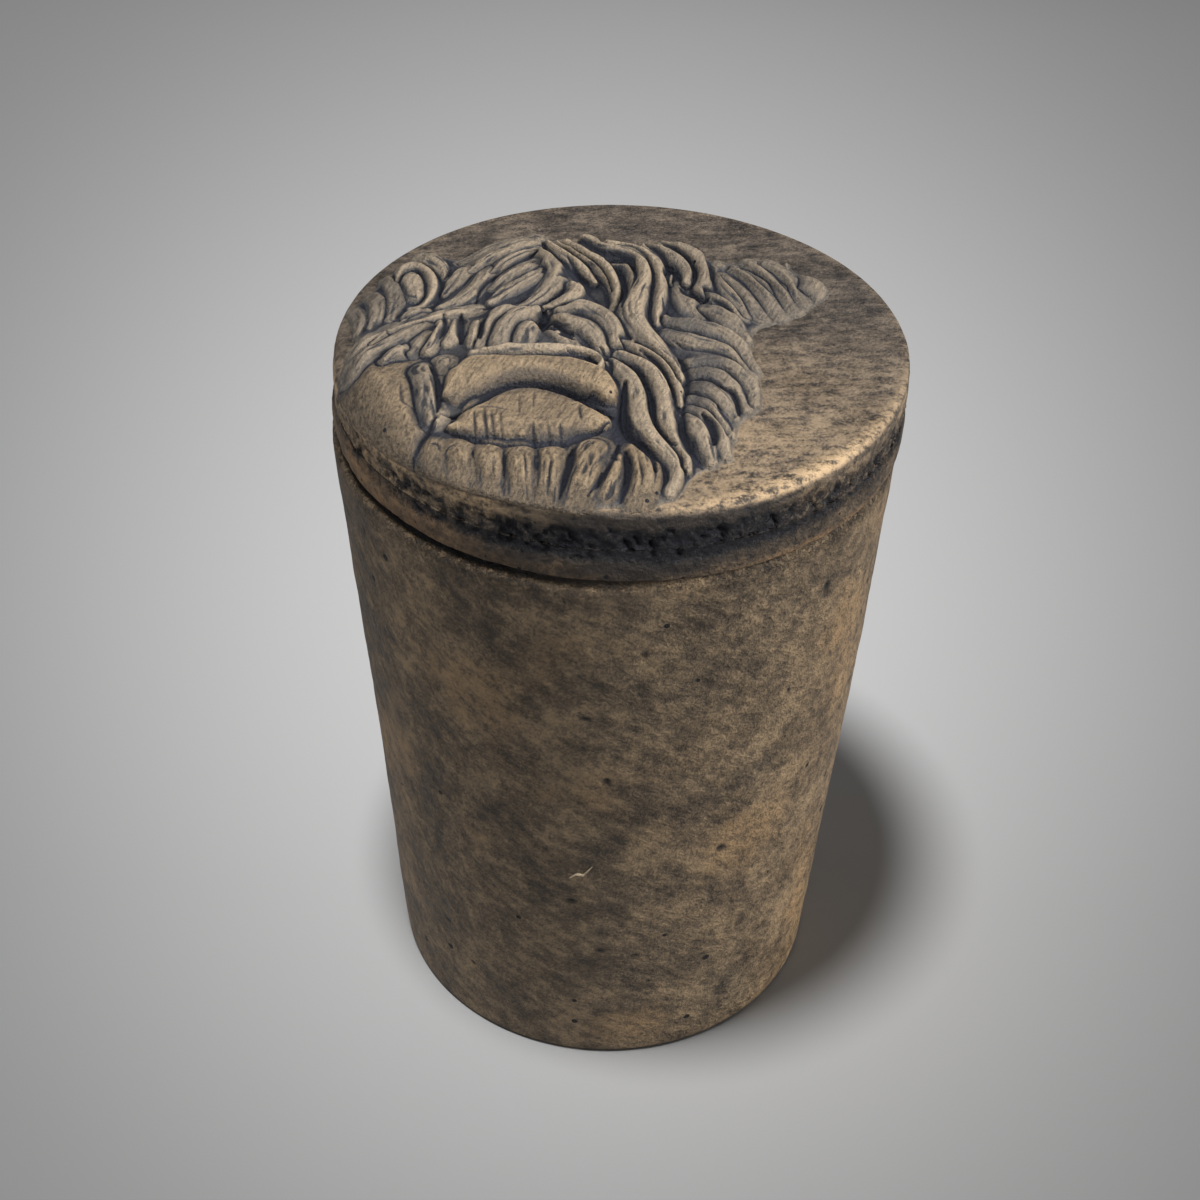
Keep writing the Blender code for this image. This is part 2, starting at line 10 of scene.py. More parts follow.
import logging
import math
from dataclasses import dataclass, field, replace
from enum import Enum

import bpy
import numpy as np
from mathutils import Matrix, Vector

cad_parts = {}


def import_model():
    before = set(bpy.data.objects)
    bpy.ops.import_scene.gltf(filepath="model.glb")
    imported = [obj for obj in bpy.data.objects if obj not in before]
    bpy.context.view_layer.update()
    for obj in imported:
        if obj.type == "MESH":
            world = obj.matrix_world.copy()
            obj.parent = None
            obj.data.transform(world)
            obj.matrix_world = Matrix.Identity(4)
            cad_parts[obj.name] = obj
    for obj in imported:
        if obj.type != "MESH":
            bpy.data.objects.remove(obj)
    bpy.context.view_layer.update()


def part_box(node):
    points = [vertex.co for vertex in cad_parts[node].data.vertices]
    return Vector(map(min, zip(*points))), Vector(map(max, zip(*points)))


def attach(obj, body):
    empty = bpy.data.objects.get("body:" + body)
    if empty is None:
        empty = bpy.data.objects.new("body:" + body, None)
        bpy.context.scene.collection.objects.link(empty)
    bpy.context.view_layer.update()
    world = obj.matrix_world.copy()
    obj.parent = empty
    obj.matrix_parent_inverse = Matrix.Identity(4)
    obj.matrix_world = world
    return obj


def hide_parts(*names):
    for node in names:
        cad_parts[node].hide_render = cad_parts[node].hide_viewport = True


LOG = logging.getLogger("lidded_pot")
MM = 0.001
Triple = tuple[float, float, float]
Colour = Triple
Plan = tuple[tuple[float, ...], ...]
Profile = list[tuple[float, float]]
Window = tuple[slice, slice]
Socket = bpy.types.NodeSocket


class Body(Enum):
    """The two bodies that move against each other."""

    POT = "pot"
    LID = "lid"


class Slot(Enum):
    """The record's material slots."""

    POT = "pot_clay"
    LID = "lid_clay"
    GROUND = "relief_ground_clay"
    RELIEF = "relief_clay"


@dataclass(frozen=True)
class LockStyle:
    """How one kind of clay strip is pressed on.

    Attributes:
        roundness: exponent of the cross section, 2 for a round rope and more for a flatter strip.
        reach: where the strip ends when it has no neighbour, in half widths.
        drop: depth of the valley beside it.
        lean: how far its crest leans to the left of its run, as a share of the half width.
        strand_depth: depth of the fine lines drawn along it.
        pool: share of stain left in the valley beside it.
        rub: how far its ridge is wiped clean.
        root: share of the full width kept at the first end.
        tip: share of the full width kept at the last end.
        tip_rise: share of the height kept at the last end.
    """

    roundness: float
    reach: float
    drop: float
    lean: float
    strand_depth: float
    pool: float
    rub: float
    root: float
    tip: float
    tip_rise: float


class Kind(Enum):
    """Kinds of clay strip in the relief."""

    ROPE = LockStyle(2.3, 1.20, 3.0, 0.28, 0.38, 0.95, 0.95, 0.80, 0.50, 0.70)
    CURL = LockStyle(2.2, 1.18, 3.0, 0.22, 0.32, 0.98, 0.70, 0.70, 1.00, 1.00)
    BAND = LockStyle(2.6, 1.55, 1.0, 0.20, 0.62, 0.45, 0.64, 0.85, 0.50, 0.80)
    TUFT = LockStyle(2.3, 1.50, 1.6, 0.15, 0.46, 0.70, 0.70, 0.85, 0.75, 0.80)
    TAIL = LockStyle(2.4, 1.50, 1.3, 0.30, 0.42, 0.70, 0.75, 0.85, 0.60, 0.45)
    LEAF = LockStyle(2.0, 1.75, 1.1, 0.15, 0.40, 0.50, 0.95, 1.00, 0.80, 0.85)
    SOFT = LockStyle(2.0, 1.60, 1.1, 0.10, 0.66, 0.48, 0.68, 1.00, 0.85, 0.80)
    FAINT = LockStyle(2.0, 1.60, 0.6, 0.10, 0.40, 0.10, 0.60, 1.00, 0.90, 0.40)
    MASS = LockStyle(3.6, 1.05, 2.4, 0.00, 0.14, 0.45, 0.98, 1.00, 1.00, 1.00)


@dataclass(frozen=True)
class Lock:
    """One strip or mass of clay on the lid, in plan.

    Attributes:
        node: the frame's node that it belongs to.
        kind: how it is pressed on.
        height: height of its ridge over the lid's flat top.
        half_width: half its width, or 0 where each point gives its own as a third number.
        points: plan points along its ridge.
    """

    node: str
    kind: Kind
    height: float
    half_width: float
    points: Plan


@dataclass(frozen=True)
class Groove:
    """One line cut into the relief: half width, depth, share of stain left in it, and plan points."""

    half_width: float
    depth: float
    stain: float
    points: Plan


# The head's strips and pads, drawn in plan.
LOCKS = (
    Lock("left_cheek", Kind.MASS, 4.4, 0, (
        (-58.5, -18, 10), (-60, -25, 12.5), (-60, -32, 14), (-58.5, -39, 13.4), (-56, -46, 11),
        (-53, -53, 8.4), (-50, -60, 6),
    )),
    Lock("muzzle", Kind.MASS, 7.8, 0, (
        (-43.4, -34, 4.6), (-40.4, -28.6, 7.4), (-35, -24.6, 7.2), (-28, -22.2, 6.0), (-19, -22.4, 5.8),
        (-12, -24.8, 6.4), (-7.4, -27.8, 6.2), (-4.2, -31, 4.6), (-3, -34, 2.6),
    )),
    Lock("lower_lip", Kind.MASS, 4.8, 0, (
        (-41, -45.6, 1.6), (-37, -44.4, 5.2), (-32, -42, 9.4), (-25.5, -39.9, 11.8), (-19, -39.6, 11.9),
        (-13, -40.8, 9.8), (-8.2, -42, 6), (-4.2, -42.6, 2.2),
    )),
    Lock("right_ear", Kind.MASS, 2.0, 0, (
        (27, 39, 3), (32, 35.5, 8.6), (38, 30.5, 13.6), (42.5, 28.5, 13.6), (46, 28, 10.6), (48, 28, 7.5),
    )),
    Lock("right_ear", Kind.FAINT, 2.6, 2.2, ((26.5, 33), (30.4, 27.5), (34.3, 19), (37.2, 12.3))),
    Lock("right_ear", Kind.FAINT, 2.8, 2.3, ((30.5, 37), (34.8, 31), (38.7, 22.6), (41.6, 14.2))),
    Lock("right_ear", Kind.FAINT, 2.7, 2.3, ((35, 39.5), (39.2, 33.5), (43.1, 25.9), (46, 17.5))),
    Lock("right_ear", Kind.FAINT, 2.4, 2.3, ((40, 39.5), (43.4, 35), (46.2, 28.4), (48, 21))),
    Lock("right_lock_6", Kind.TAIL, 3.4, 2.2, (
        (25.1, 35), (26.5, 28), (29, 22.1), (31.5, 17.6), (33.2, 12.5),
    )),
    Lock("right_lock_6", Kind.TAIL, 3.8, 1.3, (
        (21.8, 21.6), (25.1, 18.1), (28.2, 14.7), (30.8, 11.7), (33.1, 9.8),
    )),
    Lock("right_lock_7", Kind.TAIL, 3.8, 2.6, (
        (21.3, 12.8), (24.4, 11.4), (27.2, 9), (29.7, 5.1), (32.2, 0.7),
    )),
    Lock("right_lock_5", Kind.TAIL, 4.0, 2.6, (
        (14.8, 25.2), (16.1, 19.4), (17.8, 13.8), (20.1, 9.8), (21.9, 6.4),
    )),
    Lock("right_lock_8", Kind.TAIL, 4.6, 2.4, (
        (12.2, 6.4), (15.8, 4.1), (20, 3.3), (23.8, 1), (27.3, -1.8), (30.1, -5.6), (32.2, -10.3),
        (34, -14),
    )),
    Lock("right_lock_9", Kind.TAIL, 4.2, 2.6, (
        (12.4, -0.4), (15.7, -3.1), (19.8, -5.4), (23.6, -6.7), (27.1, -8.4), (29.8, -11.6), (31.7, -15.3),
        (32.9, -18.1),
    )),
    Lock("right_lock_10", Kind.TAIL, 4.0, 2.2, (
        (17.6, -13.8), (21.7, -13.1), (25.5, -13.4), (28.9, -15.6), (31.3, -19.7), (32.9, -24.7),
        (33.1, -29.7),
    )),
    Lock("right_lock_11", Kind.TAIL, 3.7, 2.1, (
        (17.5, -17.9), (21.6, -18.1), (25, -20.3), (27.9, -24.3), (30, -28.8), (31.6, -32.3),
    )),
    Lock("right_lock_12", Kind.TAIL, 3.7, 2.2, (
        (17.9, -23.9), (21.1, -25.5), (24, -28.6), (26.4, -32.5), (27.7, -36),
    )),
    Lock("right_lock_13", Kind.TAIL, 3.6, 2.0, (
        (18, -30.2), (21.2, -32.7), (23.5, -36.2), (25.6, -40.5), (26.9, -44.3),
    )),
    Lock("right_lock_14", Kind.TAIL, 3.6, 1.8, (
        (17.7, -34.2), (20.6, -36.3), (22.7, -39.7), (24, -44), (24.9, -48.7), (25.7, -52),
    )),
    Lock("right_lock_14", Kind.TAIL, 3.8, 2.0, (
        (15.9, -38.6), (18.3, -41.5), (20.1, -45.8), (21.2, -50.4), (22, -54.9),
    )),
    Lock("chin_tuft_7", Kind.SOFT, 3.4, 3.0, ((-44.9, -53.1), (-43.5, -58.4), (-41.9, -62.9))),
    Lock("chin_tuft_7", Kind.SOFT, 3.8, 4.0, ((-39, -55.1), (-37.6, -60.8), (-36.1, -66.4))),
    Lock("chin_tuft_6", Kind.SOFT, 4.0, 3.8, ((-31.3, -55.5), (-30.5, -61.6), (-29.6, -68.8))),
    Lock("chin_tuft_5", Kind.SOFT, 4.2, 3.8, ((-24.1, -56.3), (-23.6, -62.8), (-23, -70.8))),
    Lock("chin_tuft_4", Kind.SOFT, 4.2, 3.2, ((-17, -56), (-17, -62.5), (-17.4, -70.6))),
    Lock("chin_tuft_3", Kind.SOFT, 4.2, 3.6, ((-6.4, -52.6), (-7.4, -59.3), (-8.7, -66.2), (-10.4, -72.2))),
    Lock("chin_tuft_2", Kind.SOFT, 4.0, 2.2, ((-1.3, -57.5), (-1.9, -63.6), (-3, -69.3))),
    Lock("chin_tuft_1", Kind.SOFT, 4.0, 2.8, ((4.6, -52.5), (5.8, -60.5), (6, -66.1), (4.9, -71.3))),
    Lock("left_ear_strand", Kind.BAND, 3.6, 1.9, (
        (-63.6, 25.7), (-61.3, 21.1), (-59.9, 15.4), (-60.2, 9.2), (-60.9, 3.6),
    )),
    Lock("left_ear_strand", Kind.BAND, 3.4, 1.9, ((-67, 17), (-65, 12.4), (-64.4, 7.3), (-65, -0.2))),
    Lock("left_ear_strand", Kind.BAND, 3.0, 1.5, ((-71.3, 12.2), (-69.5, 7.7), (-68.2, 3.3), (-68.6, -2))),
    Lock("left_ear_strand", Kind.BAND, 4.0, 1.7, ((-51.9, 8.4), (-54.8, 5.8), (-57.2, 2.6))),
    Lock("crown_lock_1", Kind.FAINT, 2.2, 2.4, ((-24, 50.4), (-32.3, 45.3), (-37.6, 41.1), (-42.8, 36.4))),
    Lock("left_leaf", Kind.BAND, 4.0, 2.4, ((-55.3, 36.6), (-51.9, 33.9), (-49.1, 30.1), (-47.7, 25.8))),
    Lock("parting_lock_2", Kind.ROPE, 4.0, 2.2, (
        (-21.2, 46.8), (-17.7, 41.5), (-13.8, 36.7), (-10.1, 31.4), (-7.5, 26.2),
    )),
    Lock("parting_lock_2", Kind.ROPE, 4.4, 1.4, (
        (-18.2, 46.2), (-13.9, 40.4), (-9.9, 35.7), (-6.3, 30.9), (-4, 25.7), (-2.9, 20.4),
    )),
    Lock("temple_lock_lower", Kind.LEAF, 4.4, 2.0, ((-57.4, -0.2), (-60.6, -4.3), (-63.7, -9.3))),
    Lock("temple_lock_lower", Kind.LEAF, 4.8, 2.6, (
        (-51, 0.9), (-55, -3.2), (-58.7, -7.8), (-62.4, -11.8), (-66, -16.2), (-68.5, -21.5),
    )),
    Lock("temple_lock_lower", Kind.LEAF, 5.0, 2.4, ((-54.8, -11.4), (-57.1, -13.9), (-59.8, -17.4))),
    Lock("temple_lock_lower", Kind.LEAF, 4.2, 2.2, ((-48.4, -2.1), (-51.5, -8.1), (-54.1, -13))),
    Lock("temple_lock_upper", Kind.LEAF, 4.6, 2.0, (
        (-38.5, 8.4), (-44.8, 5.6), (-49.8, 2.8), (-54.8, -0.4), (-59.6, -3.6), (-64.4, -7.2),
        (-67.8, -11.7),
    )),
    Lock("left_coil", Kind.ROPE, 4.6, 2.4, (
        (-60.4, 22.7), (-59.3, 28.3), (-56.1, 29.7), (-52.8, 26.9), (-50.9, 20.9), (-51, 15.2),
        (-52.8, 10.8), (-55.6, 9.3),
    )),
    Lock("crown_lock_2", Kind.BAND, 4.4, 1.8, ((-40.8, 30.9), (-42.9, 27), (-45, 22.1), (-47.3, 17.2))),
    Lock("crown_lock_2", Kind.BAND, 4.8, 2.4, (
        (-23.6, 45.2), (-28.2, 41.2), (-33.5, 37.3), (-38.2, 33), (-41.6, 27.9),
    )),
    Lock("crown_lock_4", Kind.BAND, 4.8, 2.1, (
        (-35.6, 30), (-38.2, 21.2), (-40.3, 15.9), (-43.5, 12.1), (-47.8, 9.3),
    )),
    Lock("crown_lock_3", Kind.BAND, 5.0, 2.3, ((-24.3, 40.4), (-29, 36), (-33.3, 31), (-36.4, 26.6))),
    Lock("parting_lock_1", Kind.ROPE, 3.8, 1.7, (
        (-2.8, 34.9), (0.5, 34), (2.4, 30.3), (2.7, 25.4), (1.7, 19.6),
    )),
    Lock("parting_lock_1", Kind.ROPE, 5.0, 2.3, (
        (-15.6, 46), (-11.1, 39.5), (-6.6, 34.8), (-3.6, 28.9), (-1.9, 22.6), (-1.6, 16.9), (-2.5, 10.6),
    )),
    Lock("left_coil_heart", Kind.LEAF, 5.2, 2.9, ((-57.5, 24.6), (-56.3, 21.0), (-55.0, 16.4))),
    Lock("right_lock_3", Kind.CURL, 5.2, 2.8, (
        (6.2, 44.1), (10.3, 41.3), (14.1, 37.4), (16.8, 33.2), (17.8, 28.4), (16.6, 24.1),
    )),
    Lock("right_lock_3", Kind.ROPE, 4.2, 1.7, ((12.2, 30), (12.7, 26.8), (13.5, 24.2))),
    Lock("right_lock_4", Kind.CURL, 5.4, 3.0, (
        (10.9, 45.5), (15.9, 42.7), (19.6, 38.8), (21.7, 33.4), (22.1, 27), (20.9, 21.1),
    )),
    Lock("muzzle_lock_outer", Kind.ROPE, 5.0, 2.1, (
        (0.2, -5.7), (3.8, -8.9), (7.4, -12.1), (10.6, -16.6), (13.1, -22.1), (14.5, -28), (14.7, -33.4),
    )),
    Lock("muzzle_lock_middle", Kind.ROPE, 5.0, 2.7, (
        (-0.3, -11.5), (3.3, -14.1), (6.6, -17.8), (9.1, -22.8), (10.3, -28.6), (10.7, -34.4),
        (11.2, -40.1), (12.1, -45.7), (14.2, -50.7), (15.8, -55.7), (15.9, -59.4),
    )),
    Lock("muzzle_lock_inner", Kind.ROPE, 5.0, 3.1, (
        (-2.3, -15.3), (0.3, -19.4), (2.8, -24.9), (4.1, -31.2), (4.3, -37.8), (5.6, -44.3), (8, -50.2),
        (11, -54.6), (13.1, -59.5), (13.3, -64.4), (11.8, -68.1),
    )),
    Lock("cheek_lock", Kind.SOFT, 5.0, 2.4, ((-44.7, -17.2), (-44.4, -22.2))),
    Lock("cheek_lock", Kind.SOFT, 4.8, 3.0, (
        (-50.1, -21), (-48.3, -25.5), (-47, -31.4), (-46.3, -37.2), (-45.1, -42.8),
    )),
    Lock("right_lock_2", Kind.ROPE, 5.6, 2.6, (
        (-4, 44.6), (1.2, 42.2), (5.6, 38.3), (8.3, 33.9), (9.7, 28.5), (10.2, 22.2), (9.8, 15.9),
        (9.3, 9.7), (9.2, 3.6),
    )),
    Lock("eye_strand", Kind.LEAF, 5.6, 1.8, ((-42.5, 1.7), (-42.8, -3.8), (-44.5, -9.2))),
    Lock("eye_strand", Kind.LEAF, 5.6, 2.1, ((-46.6, 1.5), (-47.6, -5), (-49.4, -11.8))),
    Lock("forelock_inner", Kind.BAND, 5.6, 2.0, (
        (-23.7, 32.3), (-26, 28.9), (-29.1, 25.6), (-32.1, 21.7), (-34.6, 17.9),
    )),
    Lock("forelock_inner", Kind.BAND, 6.0, 2.1, (
        (-21.9, 27.4), (-24.1, 23), (-27.4, 19.1), (-31, 15.3), (-34.7, 11),
    )),
    Lock("brow_tuft_left", Kind.TUFT, 6.0, 1.5, ((-36.7, 1.3), (-37.7, -4.2), (-38.3, -10.5))),
    Lock("brow_tuft_left", Kind.TUFT, 6.4, 1.8, (
        (-26.1, 8.2), (-30.7, 5.4), (-34.1, 0.3), (-35.5, -5.7), (-36.5, -10.6),
    )),
    Lock("right_lock_main", Kind.ROPE, 6.2, 3.7, (
        (-10.1, 46), (-5.7, 41.7), (-0.7, 39), (3.2, 35.8), (5.6, 31.1), (5.9, 25.7), (4.5, 19.3),
        (3.2, 14), (2.7, 8.9), (3.2, 3.9), (5.1, -1), (7.9, -5.8), (10.9, -11), (13.4, -16.1),
        (14.8, -22.1),
    )),
    Lock("forelock_outer", Kind.BAND, 6.4, 2.3, (
        (-22.3, 40), (-19.9, 33.2), (-18.4, 27.4), (-18.2, 21.5), (-20.1, 16.2), (-23.4, 11.4),
        (-27.2, 8.1),
    )),
    Lock("brow_tuft_middle", Kind.TUFT, 6.6, 2.7, (
        (-21.6, -0.5), (-24.1, -2.6), (-25.2, -7), (-25.5, -12.4),
    )),
    Lock("brow_knob", Kind.ROPE, 6.6, 2.6, (
        (-13.4, 20.3), (-12.4, 16.2), (-14.2, 12.5), (-17.6, 10.8), (-20.2, 9.6),
    )),
    Lock("brow_tuft_right_inner", Kind.TUFT, 6.4, 1.9, (
        (-18.8, 0.5), (-16.8, -3.9), (-14.4, -7.2), (-11.8, -10.4),
    )),
    Lock("brow_tuft_right_inner", Kind.TUFT, 7.0, 2.2, (
        (-18.1, 3.5), (-13.8, -0.3), (-9.7, -2.1), (-6.5, -6.3), (-4.9, -11.1),
    )),
    Lock("brow_tuft_right_outer", Kind.TUFT, 7.0, 2.3, (
        (-15.6, 6.7), (-10.9, 7.4), (-7, 5.5), (-3.5, 1.7), (-1.7, -3.2), (-1.4, -8),
    )),
    Lock("brow_tuft_left", Kind.TUFT, 7.0, 2.9, (
        (-21.9, 6.4), (-26.2, 4.1), (-29.3, -1), (-30.8, -7), (-31.1, -12.4),
    )),
    Lock("nose_bar", Kind.ROPE, 8.3, 1.9, (
        (-37.6, -16.6), (-30.5, -16.1), (-20.5, -16.1), (-11.7, -14.8), (-7.4, -15), (-4.9, -17.4),
        (-5.6, -20.4),
    )),
)

# Crumbs of pale clay stuck on the head: plan place and radius.
SPECKS: tuple[Triple, ...] = (
    (3.6, 3.2, 0.9), (4.9, 3.3, 0.8), (-16.5, -3.0, 0.9), (2.8, -5.0, 0.8), (-23.5, -48.3, 0.8),
)

# Lines cut between the strips and across the pads.
GROOVES = (
    Groove(1.8, 1.6, 1.0, (
        (-22.2, 49), (-21.2, 42.9), (-17.7, 35), (-13.2, 27.6), (-9.3, 21.4), (-4.4, 12.6),
    )),
    Groove(0.7, 0.8, 0.8, ((-15.1, 38), (-12.2, 31.4), (-7.8, 25.5))),
    Groove(1.7, 1.6, 1.0, ((-14.1, 48.5), (-10.2, 44.8), (-6.3, 40), (-1.3, 37.4), (2.4, 35), (3.4, 31))),
    Groove(1.2, 1.4, 1.0, ((-3.6, 36), (-1.3, 30.9), (0.2, 24), (0.9, 18.3), (0.1, 9.5))),
    Groove(0.6, 0.8, 0.7, ((-4.2, 43.5), (1.8, 42), (6.2, 37), (8, 31))),
    Groove(1.0, 1.2, 0.9, ((6.2, 45), (11.1, 38), (12.5, 31.5), (12.4, 24.5))),
    Groove(0.9, 1.2, 0.9, ((9.5, 47), (14.6, 42), (18.4, 36.4), (19.5, 30.4), (18.6, 25))),
    Groove(1.5, 1.6, 1.0, ((15.6, 22.6), (17.4, 19.8), (20.1, 17.8), (23, 18.2))),
    Groove(1.1, 1.0, 0.9, ((22.6, 40.5), (24.6, 33), (24, 26))),
    Groove(1.0, 0.9, 0.9, ((24.2, 17.6), (27.3, 14.4), (30, 11))),
    Groove(0.9, 0.9, 0.9, ((10.8, 15), (12.4, 9), (16.2, 7.2), (20.2, 7))),
    Groove(0.7, 0.8, 0.8, ((13.3, -3.9), (17, -7.6), (25, -9.4), (29.4, -13), (31.4, -17))),
    Groove(1.1, 1.1, 0.9, ((14.8, -11), (16, -15), (17, -21), (16.6, -28))),
    Groove(0.7, 0.8, 0.8, ((18.6, -21), (22.5, -22.6), (26.2, -27))),
    Groove(1.5, 1.8, 1.0, (
        (1.2, -25.4), (1, -31), (0.9, -37), (1.8, -44), (4.6, -50), (7.6, -56), (8.6, -62.4),
    )),
    Groove(1.0, 1.4, 1.0, (
        (1.9, -16.2), (4.9, -21.4), (6.9, -29.4), (7.5, -36.4), (8.8, -42.9), (11.4, -48.4), (13.6, -51),
    )),
    Groove(0.8, 1.2, 0.9, ((4.9, -10.5), (8.7, -15), (11.5, -21.4), (12.8, -27.2), (13, -31.7))),
    Groove(1.8, 1.4, 1.0, ((15.5, -36), (15.1, -44.8), (16.9, -52.4), (20, -57))),
    Groove(0.9, 1.2, 1.0, ((25.4, -24.9), (27.9, -26.6), (29.2, -31), (29.2, -35))),
    Groove(0.7, 1.0, 1.0, ((23.9, -32.2), (25, -36.5), (27.1, -40), (27.5, -42.6))),
    Groove(1.4, 1.5, 1.0, ((20.2, -37.4), (22.2, -41), (23, -45.6), (22.4, -49.4))),
    Groove(1.5, 1.5, 1.0, ((-11.2, -52.6), (-11.8, -60.6), (-13.8, -70.4))),
    Groove(1.0, 1.3, 1.0, ((-0.4, -50.5), (-2.2, -60), (-4.6, -66), (-7.2, -70))),
    Groove(1.6, 1.4, 1.0, ((1.6, -53.8), (2, -63), (0.4, -71.5))),
    Groove(0.6, 0.6, 0.6, ((-7, -56.3), (-6.9, -61.6))),
    Groove(0.9, 0.7, 0.6, ((-19.4, -54), (-19, -61), (-19, -67.3))),
    Groove(0.8, 0.6, 0.5, ((-27.2, -56.4), (-27.1, -64.2))),
    Groove(0.8, 0.5, 0.3, ((-35, -54.6), (-36.2, -63.2))),
    Groove(0.5, 0.5, 0.6, ((-35.6, -40.5), (-34.8, -49.1))),
    Groove(0.6, 0.6, 0.7, ((-33.2, -40.4), (-31.9, -49.8))),
    Groove(0.5, 0.5, 0.6, ((-31.5, -40.4), (-30.2, -49.8))),
    Groove(0.5, 0.4, 0.4, ((-29.3, -40.3), (-28.3, -49.7))),
    Groove(0.4, 0.4, 0.4, ((-25, -32.5), (-24.6, -42))),
    Groove(0.4, 0.4, 0.5, ((-21.4, -31), (-21.2, -40))),
    Groove(0.6, 0.6, 0.8, ((-21, -45.5), (-20.5, -52.7))),
    Groove(0.5, 0.5, 0.6, ((-17.4, -45.4), (-16.7, -52.1))),
    Groove(0.7, 0.6, 0.8, ((-14.5, -45.2), (-13.8, -52))),
    Groove(0.5, 0.5, 0.7, ((-10.1, -37.2), (-9.4, -43.7))),
    Groove(0.4, 0.35, 0.6, ((-37.9, -39.6), (-31.8, -38.9), (-25.9, -40.6))),
    Groove(1.3, 1.6, 1.0, (
        (-43.6, -41.6), (-39.8, -40.4), (-36.2, -37.6), (-31.2, -31.6), (-26.5, -28.4), (-20.6, -27.9),
        (-13.2, -30.8), (-6.9, -36.8), (-2, -39.4),
    )),
    Groove(1.1, 1.0, 1.0, (
        (-42.2, -46.3), (-36.4, -49.6), (-29.2, -51.8), (-22, -52), (-13.5, -51), (-7.9, -47.6),
        (-2.6, -43),
    )),
    Groove(1.0, 1.4, 1.0, ((-48.1, -19.4), (-46.2, -25.4), (-45, -32.9), (-44.6, -40.6))),
    Groove(0.9, 1.0, 1.0, ((-44.6, -42.4), (-46.4, -47), (-48.3, -52), (-49.7, -58.1))),
    Groove(0.5, 0.5, 0.6, ((-54.8, -28.1), (-53.6, -36.1), (-50.9, -38.2), (-50.2, -40.4))),
    Groove(0.8, 1.0, 1.0, (
        (-61.5, 29), (-58.1, 32.6), (-53.9, 31.6), (-50.2, 26.4), (-48.6, 20.6), (-49.4, 14.6),
        (-52.4, 9.6),
    )),
    Groove(0.8, 1.0, 1.0, ((-52.6, 40.6), (-49.7, 37.4), (-47, 32.6), (-46.6, 28), (-48, 24.6))),
    Groove(0.9, 1.2, 1.0, (
        (-22.6, 43), (-24.8, 36.6), (-28.4, 32.4), (-34.4, 24.2), (-37.3, 18.8), (-38.6, 11.6),
    )),
    Groove(0.9, 1.0, 0.9, ((-38.2, 8.6), (-33.5, 9.5), (-28.4, 11.4), (-23.4, 14))),
    Groove(0.7, 0.7, 0.7, ((-62.1, 3.3), (-55.5, 4.2), (-50.7, 7.6), (-44.6, 9.2))),
    Groove(1.3, 1.4, 1.0, ((-17.3, 22.4), (-15.2, 25.1), (-15.8, 29))),
    Groove(2.4, 3.4, 1.0, ((-20.4, 8), (-20.2, 3.5), (-20.4, -2.6))),
    Groove(2.0, 2.6, 1.0, ((-20, 0.6), (-16.5, -3.2), (-12.4, -7.4))),
    Groove(1.6, 1.8, 1.0, ((-42, 5), (-41.6, -1), (-41, -8.6))),
    Groove(0.9, 1.1, 1.0, ((-46.5, 4.6), (-45.6, -2), (-46.6, -8))),
    Groove(1.0, 1.2, 1.0, ((-34.6, 4.6), (-36, -1), (-36.2, -8))),
    Groove(0.5, 0.8, 0.7, ((-36, -18.4), (-26, -18.2), (-16, -18.2), (-8.6, -18.8))),
    Groove(2.4, 0.2, 0.4, (
        (-42, -38.6), (-36.4, -35), (-31.2, -29.6), (-26.5, -26.4), (-20.6, -26), (-13.2, -28.8),
        (-6.9, -34.6),
    )),
    Groove(1.0, 1.6, 1.0, ((-13.4, -16), (-10.8, -16.3), (-8, -16))),
    Groove(0.6, 0.6, 0.7, ((-35, -15.8), (-29.6, -15.6))),
    Groove(0.8, 1.0, 1.0, ((-5.4, -11.4), (-2.9, -14.6), (-2.4, -18.6), (-3.6, -22.4))),
)


FLECK_SHARE = 0.16
GRAIN_SIZE = 0.0008
CRUMB_SIZE = 0.0015
TONE_STOPS = (0.42, 0.50, 0.59)


